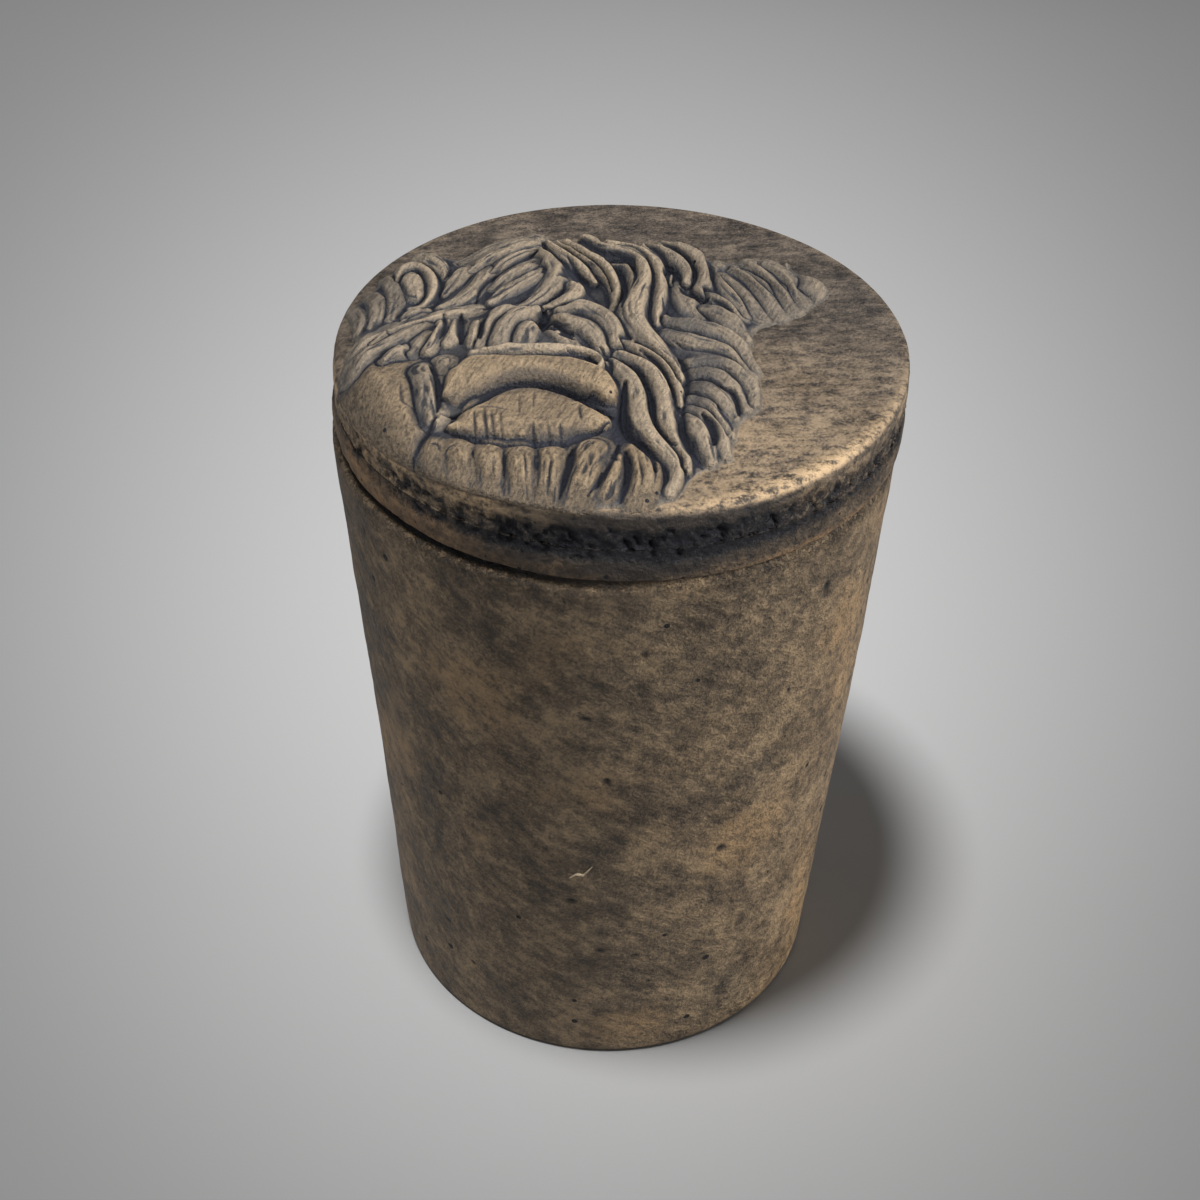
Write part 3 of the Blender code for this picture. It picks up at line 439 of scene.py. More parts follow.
@dataclass(frozen=True)
class ClayFinish:
    """A stained and wiped clay surface, which also carries painted shade and painted highlights.

    Attributes:
        name: the material's name.
        dark: colour of the stain where it pooled.
        middle: the wiped clay's usual colour.
        light: colour where it was wiped most.
        film_and_painted_shade: colour of the thin stain at the sides of recesses, and of light painted
            shade.
        stain_and_painted_shade: colour of the stain left in recesses, and of deep painted shade.
        wear_and_painted_light: colour of the raised and wiped clay, and of painted light and highlights.
        mottle: size of the stain's blotches.
        streak_turn: turn of the brush streaks, as angles in radians about x, y and z.
        streak_size: length and width of the streaks.
        streak_share: how much the streaks tell in the tone.
        pit_size: spacing of the small pits.
        pit_share: share of the places that hold a pit.
        least_wear: how much of the wear shows in the places that were wiped least.
        roughness: least and greatest roughness.
        tooth: depth of the fine surface grain.
    """

    name: str
    dark: Colour
    middle: Colour
    light: Colour
    film_and_painted_shade: Colour
    stain_and_painted_shade: Colour
    wear_and_painted_light: Colour
    mottle: float
    streak_turn: Triple
    streak_size: tuple[float, float]
    streak_share: float
    pit_size: float
    pit_share: float
    least_wear: float
    roughness: tuple[float, float]
    tooth: float

    def material(self) -> bpy.types.Material:
        """Build the finish's node material.

        Returns:
            The material, which reads the attributes stain_and_painted_shade, wear_and_painted_light and
            pitted of the mesh it is on.
        """
        bench = NodeBench(self.name)
        place = bench.place()
        blotch = bench.noise(place, self.mottle, 6.0, 0.66)
        fleck = bench.noise(place, self.mottle * FLECK_SHARE, 5.0, 0.64)
        along, across = self.streak_size
        streak_place = bench.turned(place, self.streak_turn, (across / along, 1.0, 1.0))
        streak = bench.noise(streak_place, across, 3.0, 0.52)
        grain = bench.noise(place, GRAIN_SIZE, 4.0, 0.65)
        fine = bench.blend(fleck, grain, 0.55)
        tone = bench.blend(bench.blend(blotch, streak, self.streak_share), fine, 0.45)
        colour = bench.ramp(tone, tuple(zip(TONE_STOPS, (self.dark, self.middle, self.light))))
        wear_and_painted_light = bench.attribute("wear_and_painted_light")
        wiped = bench.between(bench.blend(fine, streak, 0.4), 0.39, 0.56, self.least_wear, 1.0)
        # Wear, and painted light and highlights, take the wiped colour.
        colour = bench.mixed(bench.product(wear_and_painted_light, wiped), colour, self.wear_and_painted_light)
        stain_and_painted_shade = bench.attribute("stain_and_painted_shade")
        ragged = bench.maths("ADD", stain_and_painted_shade, bench.product(fine, 0.5))
        # Stain in recesses and painted shade take the two stain colours, the thin one first.
        for low, high, share, stain in ((0.38, 0.76, 0.78, self.film_and_painted_shade), (0.60, 1.08, 0.96, self.stain_and_painted_shade)):
            colour = bench.mixed(bench.product(bench.spread(ragged, low, high), share), colour, stain)
        crumbs = bench.noise(place, CRUMB_SIZE, 5.0, 0.72)
        broken = bench.product(bench.attribute("pitted"), bench.spread(crumbs, 0.46, 0.52))
        pits = bench.maths("MAXIMUM", bench.pits(place, self.pit_size, self.pit_share), broken)
        colour = bench.mixed(pits, colour, self.stain_and_painted_shade)
        bench.into("Base Color", colour)
        low, high = self.roughness
        gloss = bench.between(bench.blend(fleck, blotch, 0.5), 0.35, 0.65, low, high)
        gloss = bench.maths("SUBTRACT", gloss, bench.product(wear_and_painted_light, 0.10))
        bench.into("Roughness", bench.maths("MAXIMUM", gloss, bench.product(stain_and_painted_shade, 0.85)))
        bumped = bench.bump(grain, self.tooth, None)
        bumped = bench.bump(bench.blend(streak, fleck, 0.5), self.tooth * 2.0, bumped)
        bumped = bench.bump(bench.maths("SUBTRACT", 1.0, pits), self.tooth * 3.0, bumped)
        bench.into("Normal", bumped)
        return bench.material


class NodeBench:
    """Small helpers that lay out one material's nodes."""

    def __init__(self, name: str) -> None:
        """Start a material with a Principled shader.

        Args:
            name: the material's name.
        """
        self.material = bpy.data.materials.new(name)
        self.material.use_nodes = True
        self.tree = self.material.node_tree
        self.shader = self.tree.nodes["Principled BSDF"]
        self.shader.inputs["Metallic"].default_value = 0.0
        self.shader.inputs["Specular IOR Level"].default_value = 0.28

    def put(self, node: bpy.types.Node, socket: str | int, value: object) -> None:
        """Link a socket to a node's input, or set the input's own value.

        Args:
            node: the node.
            socket: the input's name or number.
            value: a socket to link, or the value to set.
        """
        if isinstance(value, Socket):
            self.tree.links.new(value, node.inputs[socket])
        else:
            node.inputs[socket].default_value = value

    def into(self, socket: str, value: object) -> None:
        """Feed one of the shader's inputs."""
        self.put(self.shader, socket, value)

    def place(self) -> Socket:
        """Object coordinates in metres."""
        return self.tree.nodes.new("ShaderNodeTexCoord").outputs["Object"]

    def attribute(self, name: str) -> Socket:
        """A number that the mesh carries at each point.

        Args:
            name: the attribute's name.

        Returns:
            The number at the shaded point.
        """
        node = self.tree.nodes.new("ShaderNodeAttribute")
        node.attribute_name = name
        return node.outputs["Fac"]

    def noise(self, place: Socket, size: float, detail: float, roughness: float) -> Socket:
        """Cloudy noise from 0 to 1 with features of about one size, in metres.

        Args:
            place: where to look it up.
            size: size of the largest features.
            detail: how many finer layers are added.
            roughness: how much the finer layers tell.

        Returns:
            The noise.
        """
        node = self.tree.nodes.new("ShaderNodeTexNoise")
        self.put(node, "Vector", place)
        self.put(node, "Scale", 1.0 / size)
        self.put(node, "Detail", detail)
        self.put(node, "Roughness", roughness)
        return node.outputs["Fac"]

    def turned(self, place: Socket, turn: Triple, scale: Triple) -> Socket:
        """Coordinates turned and then drawn out, for streaks.

        Args:
            place: the coordinates.
            turn: angles in radians about x, y and z.
            scale: scale along x, y and z after the turn.

        Returns:
            The new coordinates.
        """
        node = self.tree.nodes.new("ShaderNodeMapping")
        node.vector_type = "TEXTURE"
        self.put(node, "Vector", place)
        self.put(node, "Rotation", turn)
        self.put(node, "Scale", tuple(1.0 / share for share in scale))
        return node.outputs["Vector"]

    def maths(self, operation: str, first: object, second: object) -> Socket:
        """One operation on two numbers, its result held between 0 and 1.

        Args:
            operation: the operation's name in Blender.
            first: a socket or a number.
            second: a socket or a number.

        Returns:
            The result.
        """
        node = self.tree.nodes.new("ShaderNodeMath")
        node.operation = operation
        node.use_clamp = True
        self.put(node, 0, first)
        self.put(node, 1, second)
        return node.outputs["Value"]

    def product(self, first: object, second: object) -> Socket:
        """Product of two numbers."""
        return self.maths("MULTIPLY", first, second)

    def between(self, value: Socket, low: float, high: float, to_low: float, to_high: float) -> Socket:
        """Carry one range of numbers over to another, with smooth ends.

        Args:
            value: the number.
            low: start of its range.
            high: end of its range.
            to_low: what the start becomes.
            to_high: what the end becomes.

        Returns:
            The number in the new range.
        """
        node = self.tree.nodes.new("ShaderNodeMapRange")
        node.interpolation_type = "SMOOTHSTEP"
        self.put(node, "Value", value)
        ends = {"From Min": low, "From Max": high, "To Min": to_low, "To Max": to_high}
        for socket, number in ends.items():
            self.put(node, socket, number)
        return node.outputs["Result"]

    def spread(self, value: Socket, low: float, high: float) -> Socket:
        """Carry a range of numbers over to 0 to 1."""
        return self.between(value, low, high, 0.0, 1.0)

    def blend(self, first: Socket, second: Socket, share: float) -> Socket:
        """Mix of two numbers.

        Args:
            first: one number.
            second: the other number.
            share: share of the second.

        Returns:
            The mix.
        """
        node = self.tree.nodes.new("ShaderNodeMix")
        node.data_type = "FLOAT"
        self.put(node, "Factor", share)
        self.put(node, "A", first)
        self.put(node, "B", second)
        return node.outputs["Result"]

    def mixed(self, share: Socket, first: Socket, colour: Colour) -> Socket:
        """Mix of a colour so far with one plain colour.

        Args:
            share: share of the plain colour.
            first: the colour so far.
            colour: the plain colour.

        Returns:
            The mix.
        """
        node = self.tree.nodes.new("ShaderNodeMix")
        node.data_type = "RGBA"
        self.tree.links.new(share, node.inputs["Factor"])
        self.tree.links.new(first, node.inputs[6])
        node.inputs[7].default_value = (*colour, 1.0)
        return node.outputs[2]

    def ramp(self, value: Socket, stops: tuple[tuple[float, Colour], ...]) -> Socket:
        """Colours along a number.

        Args:
            value: the number.
            stops: numbers and the colours that they take.

        Returns:
            The colour.
        """
        node = self.tree.nodes.new("ShaderNodeValToRGB")
        self.put(node, "Fac", value)
        elements = node.color_ramp.elements
        while len(elements) < len(stops):
            elements.new(0.5)
        for element, (position, colour) in zip(elements, stops):
            element.position = position
            element.color = (*colour, 1.0)
        return node.outputs["Color"]

    def pits(self, place: Socket, size: float, share: float) -> Socket:
        """Small round pits at some of a scatter of places: 1 in a pit and 0 outside.

        Args:
            place: where to look them up.
            size: spacing of the places.
            share: share of the places that hold a pit.

        Returns:
            How deep in a pit the point is.
        """
        node = self.tree.nodes.new("ShaderNodeTexVoronoi")
        self.put(node, "Vector", place)
        self.put(node, "Scale", 1.0 / size)
        pick = self.tree.nodes.new("ShaderNodeSeparateColor")
        self.put(pick, "Color", node.outputs["Color"])
        chosen = self.maths("LESS_THAN", pick.outputs["Red"], share)
        width = self.between(pick.outputs["Green"], 0.0, 1.0, 0.10, 0.30)
        depth = self.maths("SUBTRACT", width, node.outputs["Distance"])
        return self.product(chosen, self.spread(depth, 0.0, 0.06))

    def bump(self, height: Socket, depth: float, under: Socket | None) -> Socket:
        """Bend the normal by a height of so many metres, over another bend where there is one.

        Args:
            height: the height from 0 to 1.
            depth: what a height of 1 stands for.
            under: the other bend.

        Returns:
            The bent normal.
        """
        node = self.tree.nodes.new("ShaderNodeBump")
        self.put(node, "Strength", 1.0)
        self.put(node, "Distance", depth)
        self.put(node, "Height", height)
        if under is not None:
            self.put(node, "Normal", under)
        return node.outputs["Normal"]


POT_FINISH = ClayFinish(
    name="pot_wall_stain",
    dark=(0.030, 0.023, 0.017), middle=(0.102, 0.076, 0.051), light=(0.245, 0.180, 0.112),
    film_and_painted_shade=(0.034, 0.028, 0.023), stain_and_painted_shade=(0.007, 0.007, 0.009), wear_and_painted_light=(0.300, 0.196, 0.102),
    mottle=0.015, streak_turn=(0.0, 0.55, 0.0), streak_size=(0.009, 0.0028), streak_share=0.34,
    pit_size=0.0042, pit_share=0.05, least_wear=0.22, roughness=(0.50, 0.76), tooth=0.00082,
)
LID_FINISH = ClayFinish(
    name="lid_stain",
    dark=(0.015, 0.013, 0.012), middle=(0.048, 0.039, 0.033), light=(0.122, 0.097, 0.074),
    film_and_painted_shade=(0.027, 0.024, 0.023), stain_and_painted_shade=(0.007, 0.008, 0.0135), wear_and_painted_light=(0.43, 0.305, 0.178),
    mottle=0.013, streak_turn=(0.0, 0.0, 0.12), streak_size=(0.0050, 0.0020), streak_share=0.46,
    pit_size=0.0060, pit_share=0.015, least_wear=0.06, roughness=(0.44, 0.68), tooth=0.00050,
)
SIDE_FINISH = ClayFinish(
    name="lid_side_stain",
    dark=(0.013, 0.012, 0.012), middle=(0.054, 0.042, 0.032), light=(0.140, 0.101, 0.065),
    film_and_painted_shade=(0.024, 0.021, 0.020), stain_and_painted_shade=(0.0055, 0.0065, 0.0115), wear_and_painted_light=(0.28, 0.165, 0.080),
    mottle=0.012, streak_turn=(0.0, 0.0, 0.0), streak_size=(0.008, 0.0025), streak_share=0.35,
    pit_size=0.0026, pit_share=0.12, least_wear=0.30, roughness=(0.50, 0.74), tooth=0.00085,
)
BARE_FINISH = ClayFinish(
    name="bare_clay",
    dark=(0.22, 0.17, 0.11), middle=(0.36, 0.29, 0.20), light=(0.50, 0.41, 0.29),
    film_and_painted_shade=(0.16, 0.12, 0.08), stain_and_painted_shade=(0.05, 0.04, 0.03), wear_and_painted_light=(0.55, 0.46, 0.33),
    mottle=0.004, streak_turn=(0.0, 0.0, 0.0), streak_size=(0.002, 0.0008), streak_share=0.3,
    pit_size=0.0020, pit_share=0.02, least_wear=0.4, roughness=(0.6, 0.8), tooth=0.0002,
)
RELIEF_FINISH = ClayFinish(
    name="relief_stain",
    dark=(0.034, 0.031, 0.030), middle=(0.076, 0.067, 0.058), light=(0.137, 0.115, 0.091),
    film_and_painted_shade=(0.041, 0.041, 0.045), stain_and_painted_shade=(0.005, 0.007, 0.015), wear_and_painted_light=(0.284, 0.224, 0.158),
    mottle=0.011, streak_turn=(0.0, 0.0, 1.2), streak_size=(0.0060, 0.0009), streak_share=0.35,
    pit_size=0.0022, pit_share=0.008, least_wear=0.50, roughness=(0.42, 0.66), tooth=0.00054,
)
FACE_FINISH = replace(
    RELIEF_FINISH,
    name="face_stain",
    dark=(0.034, 0.028, 0.023), middle=(0.072, 0.056, 0.041), light=(0.132, 0.099, 0.067),
    film_and_painted_shade=(0.040, 0.038, 0.039), wear_and_painted_light=(0.304, 0.224, 0.140),
    streak_share=0.50, least_wear=0.34, tooth=0.00072,
)


class ClayNoise:
    """Seeded lattice noise: random values at whole places, smoothed between them, summed over octaves."""

    SIDE = 32

    def __init__(self, seed: int) -> None:
        """Draw the lattice's values.

        Args:
            seed: the draw's seed.
        """
        self.values = np.random.default_rng(seed).uniform(-1.0, 1.0, (self.SIDE,) * 3)

    def once(self, places: np.ndarray) -> np.ndarray:
        """Noise at places given in lattice steps, by trilinear blending with eased shares.

        Args:
            places: an array whose last axis is x, y, z.

        Returns:
            Values between -1 and 1.
        """
        cell = np.floor(places).astype(int)
        share = places - cell
        share = share * share * (3.0 - 2.0 * share)
        total = np.zeros(places.shape[:-1])
        for corner in np.ndindex(2, 2, 2):
            weight = np.prod(np.where(np.array(corner) == 1, share, 1.0 - share), axis=-1)
            spot = (cell + corner) % self.SIDE
            total += weight * self.values[spot[..., 0], spot[..., 1], spot[..., 2]]
        return total

    def at(self, places: np.ndarray, size: float, octaves: int = 1) -> np.ndarray:
        """Noise at places in millimetres.

        Args:
            places: an array whose last axis is x, y, z.
            size: size of the largest features.
            octaves: how many times finer noise of half the weight is added.

        Returns:
            Values between about -1 and 1.
        """
        layers = [0.5**k * self.once(places * (2.0**k / size) + 5.3 * k) for k in range(octaves)]
        return sum(layers) / sum(0.5**k for k in range(octaves))


def ease(value: np.ndarray, low: float, high: float) -> np.ndarray:
    """Smooth step from 0 at low to 1 at high."""
    share = np.clip((value - low) / (high - low), 0.0, 1.0)
    return share * share * (3.0 - 2.0 * share)


def bell_round(x: np.ndarray, y: np.ndarray, middle: float, spread: float) -> np.ndarray:
    """How near places are to one direction from the axis: a bell curve of the angle in degrees."""
    away = np.mod(np.degrees(np.arctan2(y, x)) - middle + 180.0, 360.0) - 180.0
    return np.exp(-((away / spread) ** 2))


def add_piece(
    name: str,
    points: np.ndarray,
    faces: list[np.ndarray],
    finish: bpy.types.Material,
    numbers: dict[str, np.ndarray],
    normals: np.ndarray | None = None,
) -> bpy.types.Object:
    """Make one closed piece from whole arrays.

    Args:
        name: the piece's name.
        points: one row of millimetres for each point.
        faces: arrays of point numbers, one row for each face, triangles and quads apart.
        finish: its material.
        numbers: values that its material reads at each point.
        normals: shading normals at the points, where neighbours have to share them.

    Returns:
        The new object, which sits at the origin.
    """
    corners = np.concatenate([part.ravel() for part in faces])
    sizes = np.concatenate([np.full(len(part), part.shape[1]) for part in faces])
    mesh = bpy.data.meshes.new(name)
    mesh.vertices.add(len(points))
    mesh.vertices.foreach_set("co", (points * MM).ravel())
    mesh.loops.add(len(corners))
    mesh.loops.foreach_set("vertex_index", corners.astype(np.int32))
    mesh.polygons.add(len(sizes))
    mesh.polygons.foreach_set("loop_start", (np.cumsum(sizes) - sizes).astype(np.int32))
    mesh.update(calc_edges=True)
    mesh.shade_smooth()
    for label, values in numbers.items():
        mesh.attributes.new(label, "FLOAT", "POINT").data.foreach_set("value", np.clip(values, 0.0, 1.0))
    if normals is not None:
        mesh.normals_split_custom_set_from_vertices(normals)
    mesh.materials.append(finish)
    made = bpy.data.objects.new(name, mesh)
    bpy.context.scene.collection.objects.link(made)
    LOG.info("%s: %d points, %d faces", name, len(points), len(sizes))
    return made


def box_of(node: str) -> tuple[list[float], list[float]]:
    """Lowest and highest corner of one of the frame's nodes, in millimetres."""
    low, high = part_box(node)
    return [value / MM for value in low], [value / MM for value in high]


def dress(piece: bpy.types.Object, body: Body, nodes: tuple[str, ...]) -> None:
    """Set what a piece rides on, and hide the frame's nodes that it stands for.

    Args:
        piece: the piece.
        body: the body that it rides on.
        nodes: the nodes that it stands for, or none.
    """
    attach(piece, body.value)
    if nodes:
        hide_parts(*nodes)


def run(start: tuple[float, float], end: tuple[float, float], step: float) -> Profile:
    """Even points of a straight run in the (radius, height) plane, without its last point.

    Args:
        start: the first point.
        end: the last point.
        step: greatest spacing of the points.

    Returns:
        The points.
    """
    count = max(1, math.ceil(math.dist(start, end) / step))
    shares = np.arange(count) / count
    return [(start[0] + (end[0] - start[0]) * t, start[1] + (end[1] - start[1]) * t) for t in shares]


def bend(centre: tuple[float, float], radius: float, first: float, last: float, count: int) -> Profile:
    """Even points of a round corner between two angles in degrees, without its last point."""
    angles = np.radians(first + (last - first) * np.arange(count) / count)
    return [(centre[0] + radius * math.cos(a), centre[1] + radius * math.sin(a)) for a in angles]


@dataclass(frozen=True)
class ClayGrid:
    """A closed grid of points: its columns meet, and its rows meet too or end in two fans of triangles.

    Attributes:
        rows: how many rows.
        columns: how many columns.
        is_ring: whether the last row meets the first.
    """

    rows: int
    columns: int
    is_ring: bool

    def faces(self) -> list[np.ndarray]:
        """Quads between neighbouring rows and columns, and the fans where the rows don't meet."""
        number = np.arange(self.rows * self.columns).reshape(self.rows, self.columns)
        right = np.roll(number, -1, axis=1)
        if self.is_ring:
            below, below_right = np.roll(number, -1, axis=0), np.roll(right, -1, axis=0)
            return [np.stack([number, below, below_right, right], axis=-1).reshape(-1, 4)]
        quads = np.stack([number[:-1], number[1:], right[1:], right[:-1]], axis=-1).reshape(-1, 4)
        top = np.full(self.columns, self.rows * self.columns)
        fans = [
            np.stack([top, number[0], right[0]], axis=-1),
            np.stack([top + 1, right[-1], number[-1]], axis=-1),
        ]
        return [quads, np.concatenate(fans)]

    def listed(self, values: np.ndarray) -> np.ndarray:
        """The grid's points or numbers in one list, with the means of its end rows last if it has fans."""
        flat = values.reshape(-1, *values.shape[2:])
        return flat if self.is_ring else np.concatenate([flat, values[[0, -1]].mean(axis=1)])

    def piece(
        self,
        name: str,
        places: np.ndarray,
        finish: bpy.types.Material,
        stain_and_painted_shade: np.ndarray | float = 0.0,
        wear_and_painted_light: np.ndarray | float = 0.0,
        pitted: np.ndarray | float = 0.0,
    ) -> bpy.types.Object:
        """Make the grid's piece.

        Args:
            name: the piece's name.
            places: rows by columns of points.
            finish: its material.
            stain_and_painted_shade: stain left in recesses, and painted shade, for each place or for all.
            wear_and_painted_light: wiped clay, and painted light, for each place or for all.
            pitted: broken clay, for each place or for all.

        Returns:
            The new object.
        """
        numbers = {"stain_and_painted_shade": stain_and_painted_shade, "wear_and_painted_light": wear_and_painted_light, "pitted": pitted}
        shape = places.shape[:2]
        listed = {label: self.listed(np.broadcast_to(values, shape)) for label, values in numbers.items()}
        return add_piece(name, self.listed(places), self.faces(), finish, listed)


@dataclass
class TurnedClay:
    """A turned surface: a profile row carried round the axis, pushed along the profile's own normal.

    Attributes:
        profile: (radius, height) points, down the outside; a loop where is_ring is set, and otherwise from
            near the axis at the top to near the axis at the bottom.
        columns: how many steps round the axis.
        is_ring: whether the profile is a loop.
    """

    profile: Profile
    columns: int
    is_ring: bool

    def __post_init__(self) -> None:
        """Work out the grid, the rows, the angles and the profile's normals."""
        self.grid = ClayGrid(len(self.profile), self.columns, self.is_ring)
        self.rows = np.array(self.profile, dtype=float)
        self.angles = np.arange(self.columns) * (2.0 * math.pi / self.columns)
        if self.is_ring:
            ahead, behind = np.roll(self.rows, -1, axis=0), np.roll(self.rows, 1, axis=0)
        else:
            ahead = np.vstack([self.rows[1:], self.rows[-1:] - (1.0, 0.0)])
            behind = np.vstack([self.rows[:1] - (1.0, 0.0), self.rows[:-1]])
        along = ahead - behind
        along /= np.linalg.norm(along, axis=1)[:, None]
        self.normals = np.column_stack([-along[:, 1], along[:, 0]])

    def places(self, push: np.ndarray) -> np.ndarray:
        """Points of the surface, rows by columns, pushed out along the profile's normal.

        Args:
            push: distance for each row and column.

        Returns:
            An array of rows, columns and x, y, z.
        """
        radius = self.rows[:, :1] + self.normals[:, :1] * push
        height = self.rows[:, 1:] + self.normals[:, 1:] * push
        return np.stack([radius * np.cos(self.angles), radius * np.sin(self.angles), height], axis=-1)

    def plain(self) -> np.ndarray:
        """Points of the surface before any push."""
        return self.places(np.zeros((len(self.rows), self.columns)))


@dataclass(frozen=True)
class Dents:
    """A scatter of dents on a turned surface.

    Attributes:
        seed: the scatter's seed.
        count: how many.
        heights: lowest and highest place.
        sizes: least and greatest radius.
        depth: depth as a share of the radius.
        marks: dents at given places: an angle in degrees, a height, a radius and a stretch round the axis.
    """

    seed: int
    count: int
    heights: tuple[float, float]
    sizes: tuple[float, float]
    depth: float
    marks: tuple[tuple[float, float, float, float], ...] = ()

    def press(self, places: np.ndarray) -> tuple[np.ndarray, np.ndarray]:
        """Press the dents: each is a bell curve of the distance from its middle.

        Args:
            places: rows by columns of points.

        Returns:
            The depth at each point, and how deep in a dent it is from 0 to 1.
        """
        draw = np.random.default_rng(self.seed)
        angle = np.arctan2(places[..., 1], places[..., 0])
        reach = np.hypot(places[..., 0], places[..., 1])
        deep, inside = np.zeros(angle.shape), np.zeros(angle.shape)
        size = self.sizes[0] + (self.sizes[1] - self.sizes[0]) * draw.random(self.count) ** 2
        turn, height = draw.uniform(-180.0, 180.0, self.count), draw.uniform(*self.heights, self.count)
        scattered = np.column_stack([turn, height, size, draw.uniform(0.6, 1.8, self.count)]).tolist()
        for degrees, height, size, stretch in [*scattered, *self.marks]:
            turn = math.radians(degrees)
            across = (np.mod(angle - turn + math.pi, 2 * math.pi) - math.pi) * reach / (size * stretch)
            bell = np.exp(-(across**2 + ((places[..., 2] - height) / size) ** 2))
            deep = np.maximum(deep, bell * size * self.depth)
            inside = np.maximum(inside, bell)
        return deep, inside


@dataclass
class PotBody:
    """The pot: a tapered wall with a rough rim, the base slab in its foot and a scratch on its front.

    Attributes:
        foot_radius: the wall's outer radius at the foot.
        wall: the wall's thickness.
        base_gap: gap between the wall and the base slab.
        rim_round: round of the rim's outer edge.
        mouth_round: round of the rim's inner edge.
        foot_chamfer: bevel of the foot's outer edge.
        wall_step: spacing of the points down the outside.
        columns: how many steps round the axis.
        sway: how far the upper wall leans to the left.
        rim_gap: how far the rim lies below the lid at the left.
        marks: dents at given places on the wall.
        scratch: angles in degrees and heights along the scratch's middle line.
        scratch_width: half the scratch's width in its middle.
        scratch_rise: how far the scratch's middle line stands out of the wall.
        noise: the clay's unevenness.
    """

    foot_radius: float = 64.0
    wall: float = 8.0
    base_gap: float = 0.3
    rim_round: float = 2.8
    mouth_round: float = 1.4
    foot_chamfer: float = 1.2
    wall_step: float = 1.15
    columns: int = 430
    sway: float = 0.9
    rim_gap: float = 1.4
    marks: Plan = (
        (-84.1, 166.7, 1.4, 0.6), (-90.6, 120.5, 1.3, 0.9), (-42.9, 171.1, 1.7, 0.6),
        (-50.1, 140.3, 1.1, 0.8), (-91.1, 49.3, 1.0, 1.6), (-82.4, 46.7, 0.9, 1.2),
    )
    scratch: Plan = ((-98.6, 80.7), (-97.0, 82.6), (-95.4, 82.4), (-93.3, 86.4))
    scratch_width: float = 0.55
    scratch_rise: float = 0.05
    noise: ClayNoise = field(default_factory=lambda: ClayNoise(11))

    def __post_init__(self) -> None:
        """Take the other sizes from the frame's boxes."""
        _, wall_high = box_of("pot_wall")
        self.rim_radius, self.height = wall_high[0], wall_high[2]
        _, base_high = box_of("pot_base")
        self.base_top_radius, self.base_height = base_high[0], base_high[2]

    def build(self) -> None:
        """Make the wall, the base and the scratch."""
        finish = POT_FINISH.material()
        self.build_wall(finish)
        self.build_base(finish)
        self.build_scratch()

    def uneven(self, places: np.ndarray) -> np.ndarray:
        """How far the wall stands out at places on it: broad swells and small dimples of the hand."""
        return 0.35 * self.noise.at(places, 60.0, 2) + 0.24 * self.noise.at(places, 8.0, 3)

    def wall_profile(self) -> Profile:
        """The wall's section: down the outside, under the foot, up the inside and over the rim."""
        foot, outer, top = self.foot_radius, self.rim_radius, self.height
        mouth = outer - self.wall
        rim, lip, chamfer = self.rim_round, self.mouth_round, self.foot_chamfer
        profile = bend((outer - rim, top - rim), rim, 90, 0, 8)
        profile += run((outer, top - rim), (foot, chamfer), self.wall_step)
        profile += run((foot, chamfer), (foot - chamfer, 0), 0.6)
        profile += run((foot - chamfer, 0), (foot - self.wall, 0), 2.4)
        profile += run((foot - self.wall, 0), (mouth, top - lip), 7.0)
        profile += bend((mouth + lip, top - lip), lip, 180, 90, 4)
        return profile + run((mouth + lip, top), (outer - rim, top), 1.3)

    def build_wall(self, finish: bpy.types.Material) -> None:
        """Turn the wall: uneven and dented, chipped along the rim, and low under the lid at the left.

        It is wiped in patches and paler toward the right, partly painted light on its lit side; it is
        darker high on the right, and painted shade darkens the gap under the lid at the left.

        Args:
            finish: its material.
        """
        clay = TurnedClay(self.wall_profile(), self.columns, True)
        plain = clay.plain()
        x, y, z = plain[..., 0], plain[..., 1], plain[..., 2]
        top = self.height
        outside = (clay.normals[:, :1] > 0.2) * np.ones((1, self.columns))
        rim_zone = ease(z, top - 7.0, top - 1.0)
        gap = bell_round(x, y, -145.0, 52.0)
        push = outside * ease(z, 0.5, 6.0) * self.uneven(plain)
        push -= self.sway * np.cos(np.arctan2(y, x)) * ease(z, 90.0, top) * outside
        push += rim_zone * outside * (0.50 * self.noise.at(plain + 40.0, 5.0, 3) - 0.15)
        outer_rim = ease(np.hypot(x, y), self.rim_radius - 6.5, self.rim_radius - 3.5)
        push -= self.rim_gap * gap * outer_rim * ease(z, top - 2.6, top - 0.8)
        deep, inside = Dents(5, 26, (8.0, top - 12.0), (0.6, 1.5), 0.5, self.marks).press(plain)
        push -= deep * outside
        # Painted shade in the gap under the lid's edge at the left.
        painted_gap_shade = gap * ease(z, top - 1.6, top - 0.6)
        stain_and_painted_shade = np.maximum(0.9 * inside * outside, painted_gap_shade)
        stain_and_painted_shade += 0.22 * outside * ease(z, 140.0, 184.0) * ease(x, 10.0, 60.0)
        cloud = 0.5 + 0.7 * self.noise.at(plain + 13.0, 26.0, 3)
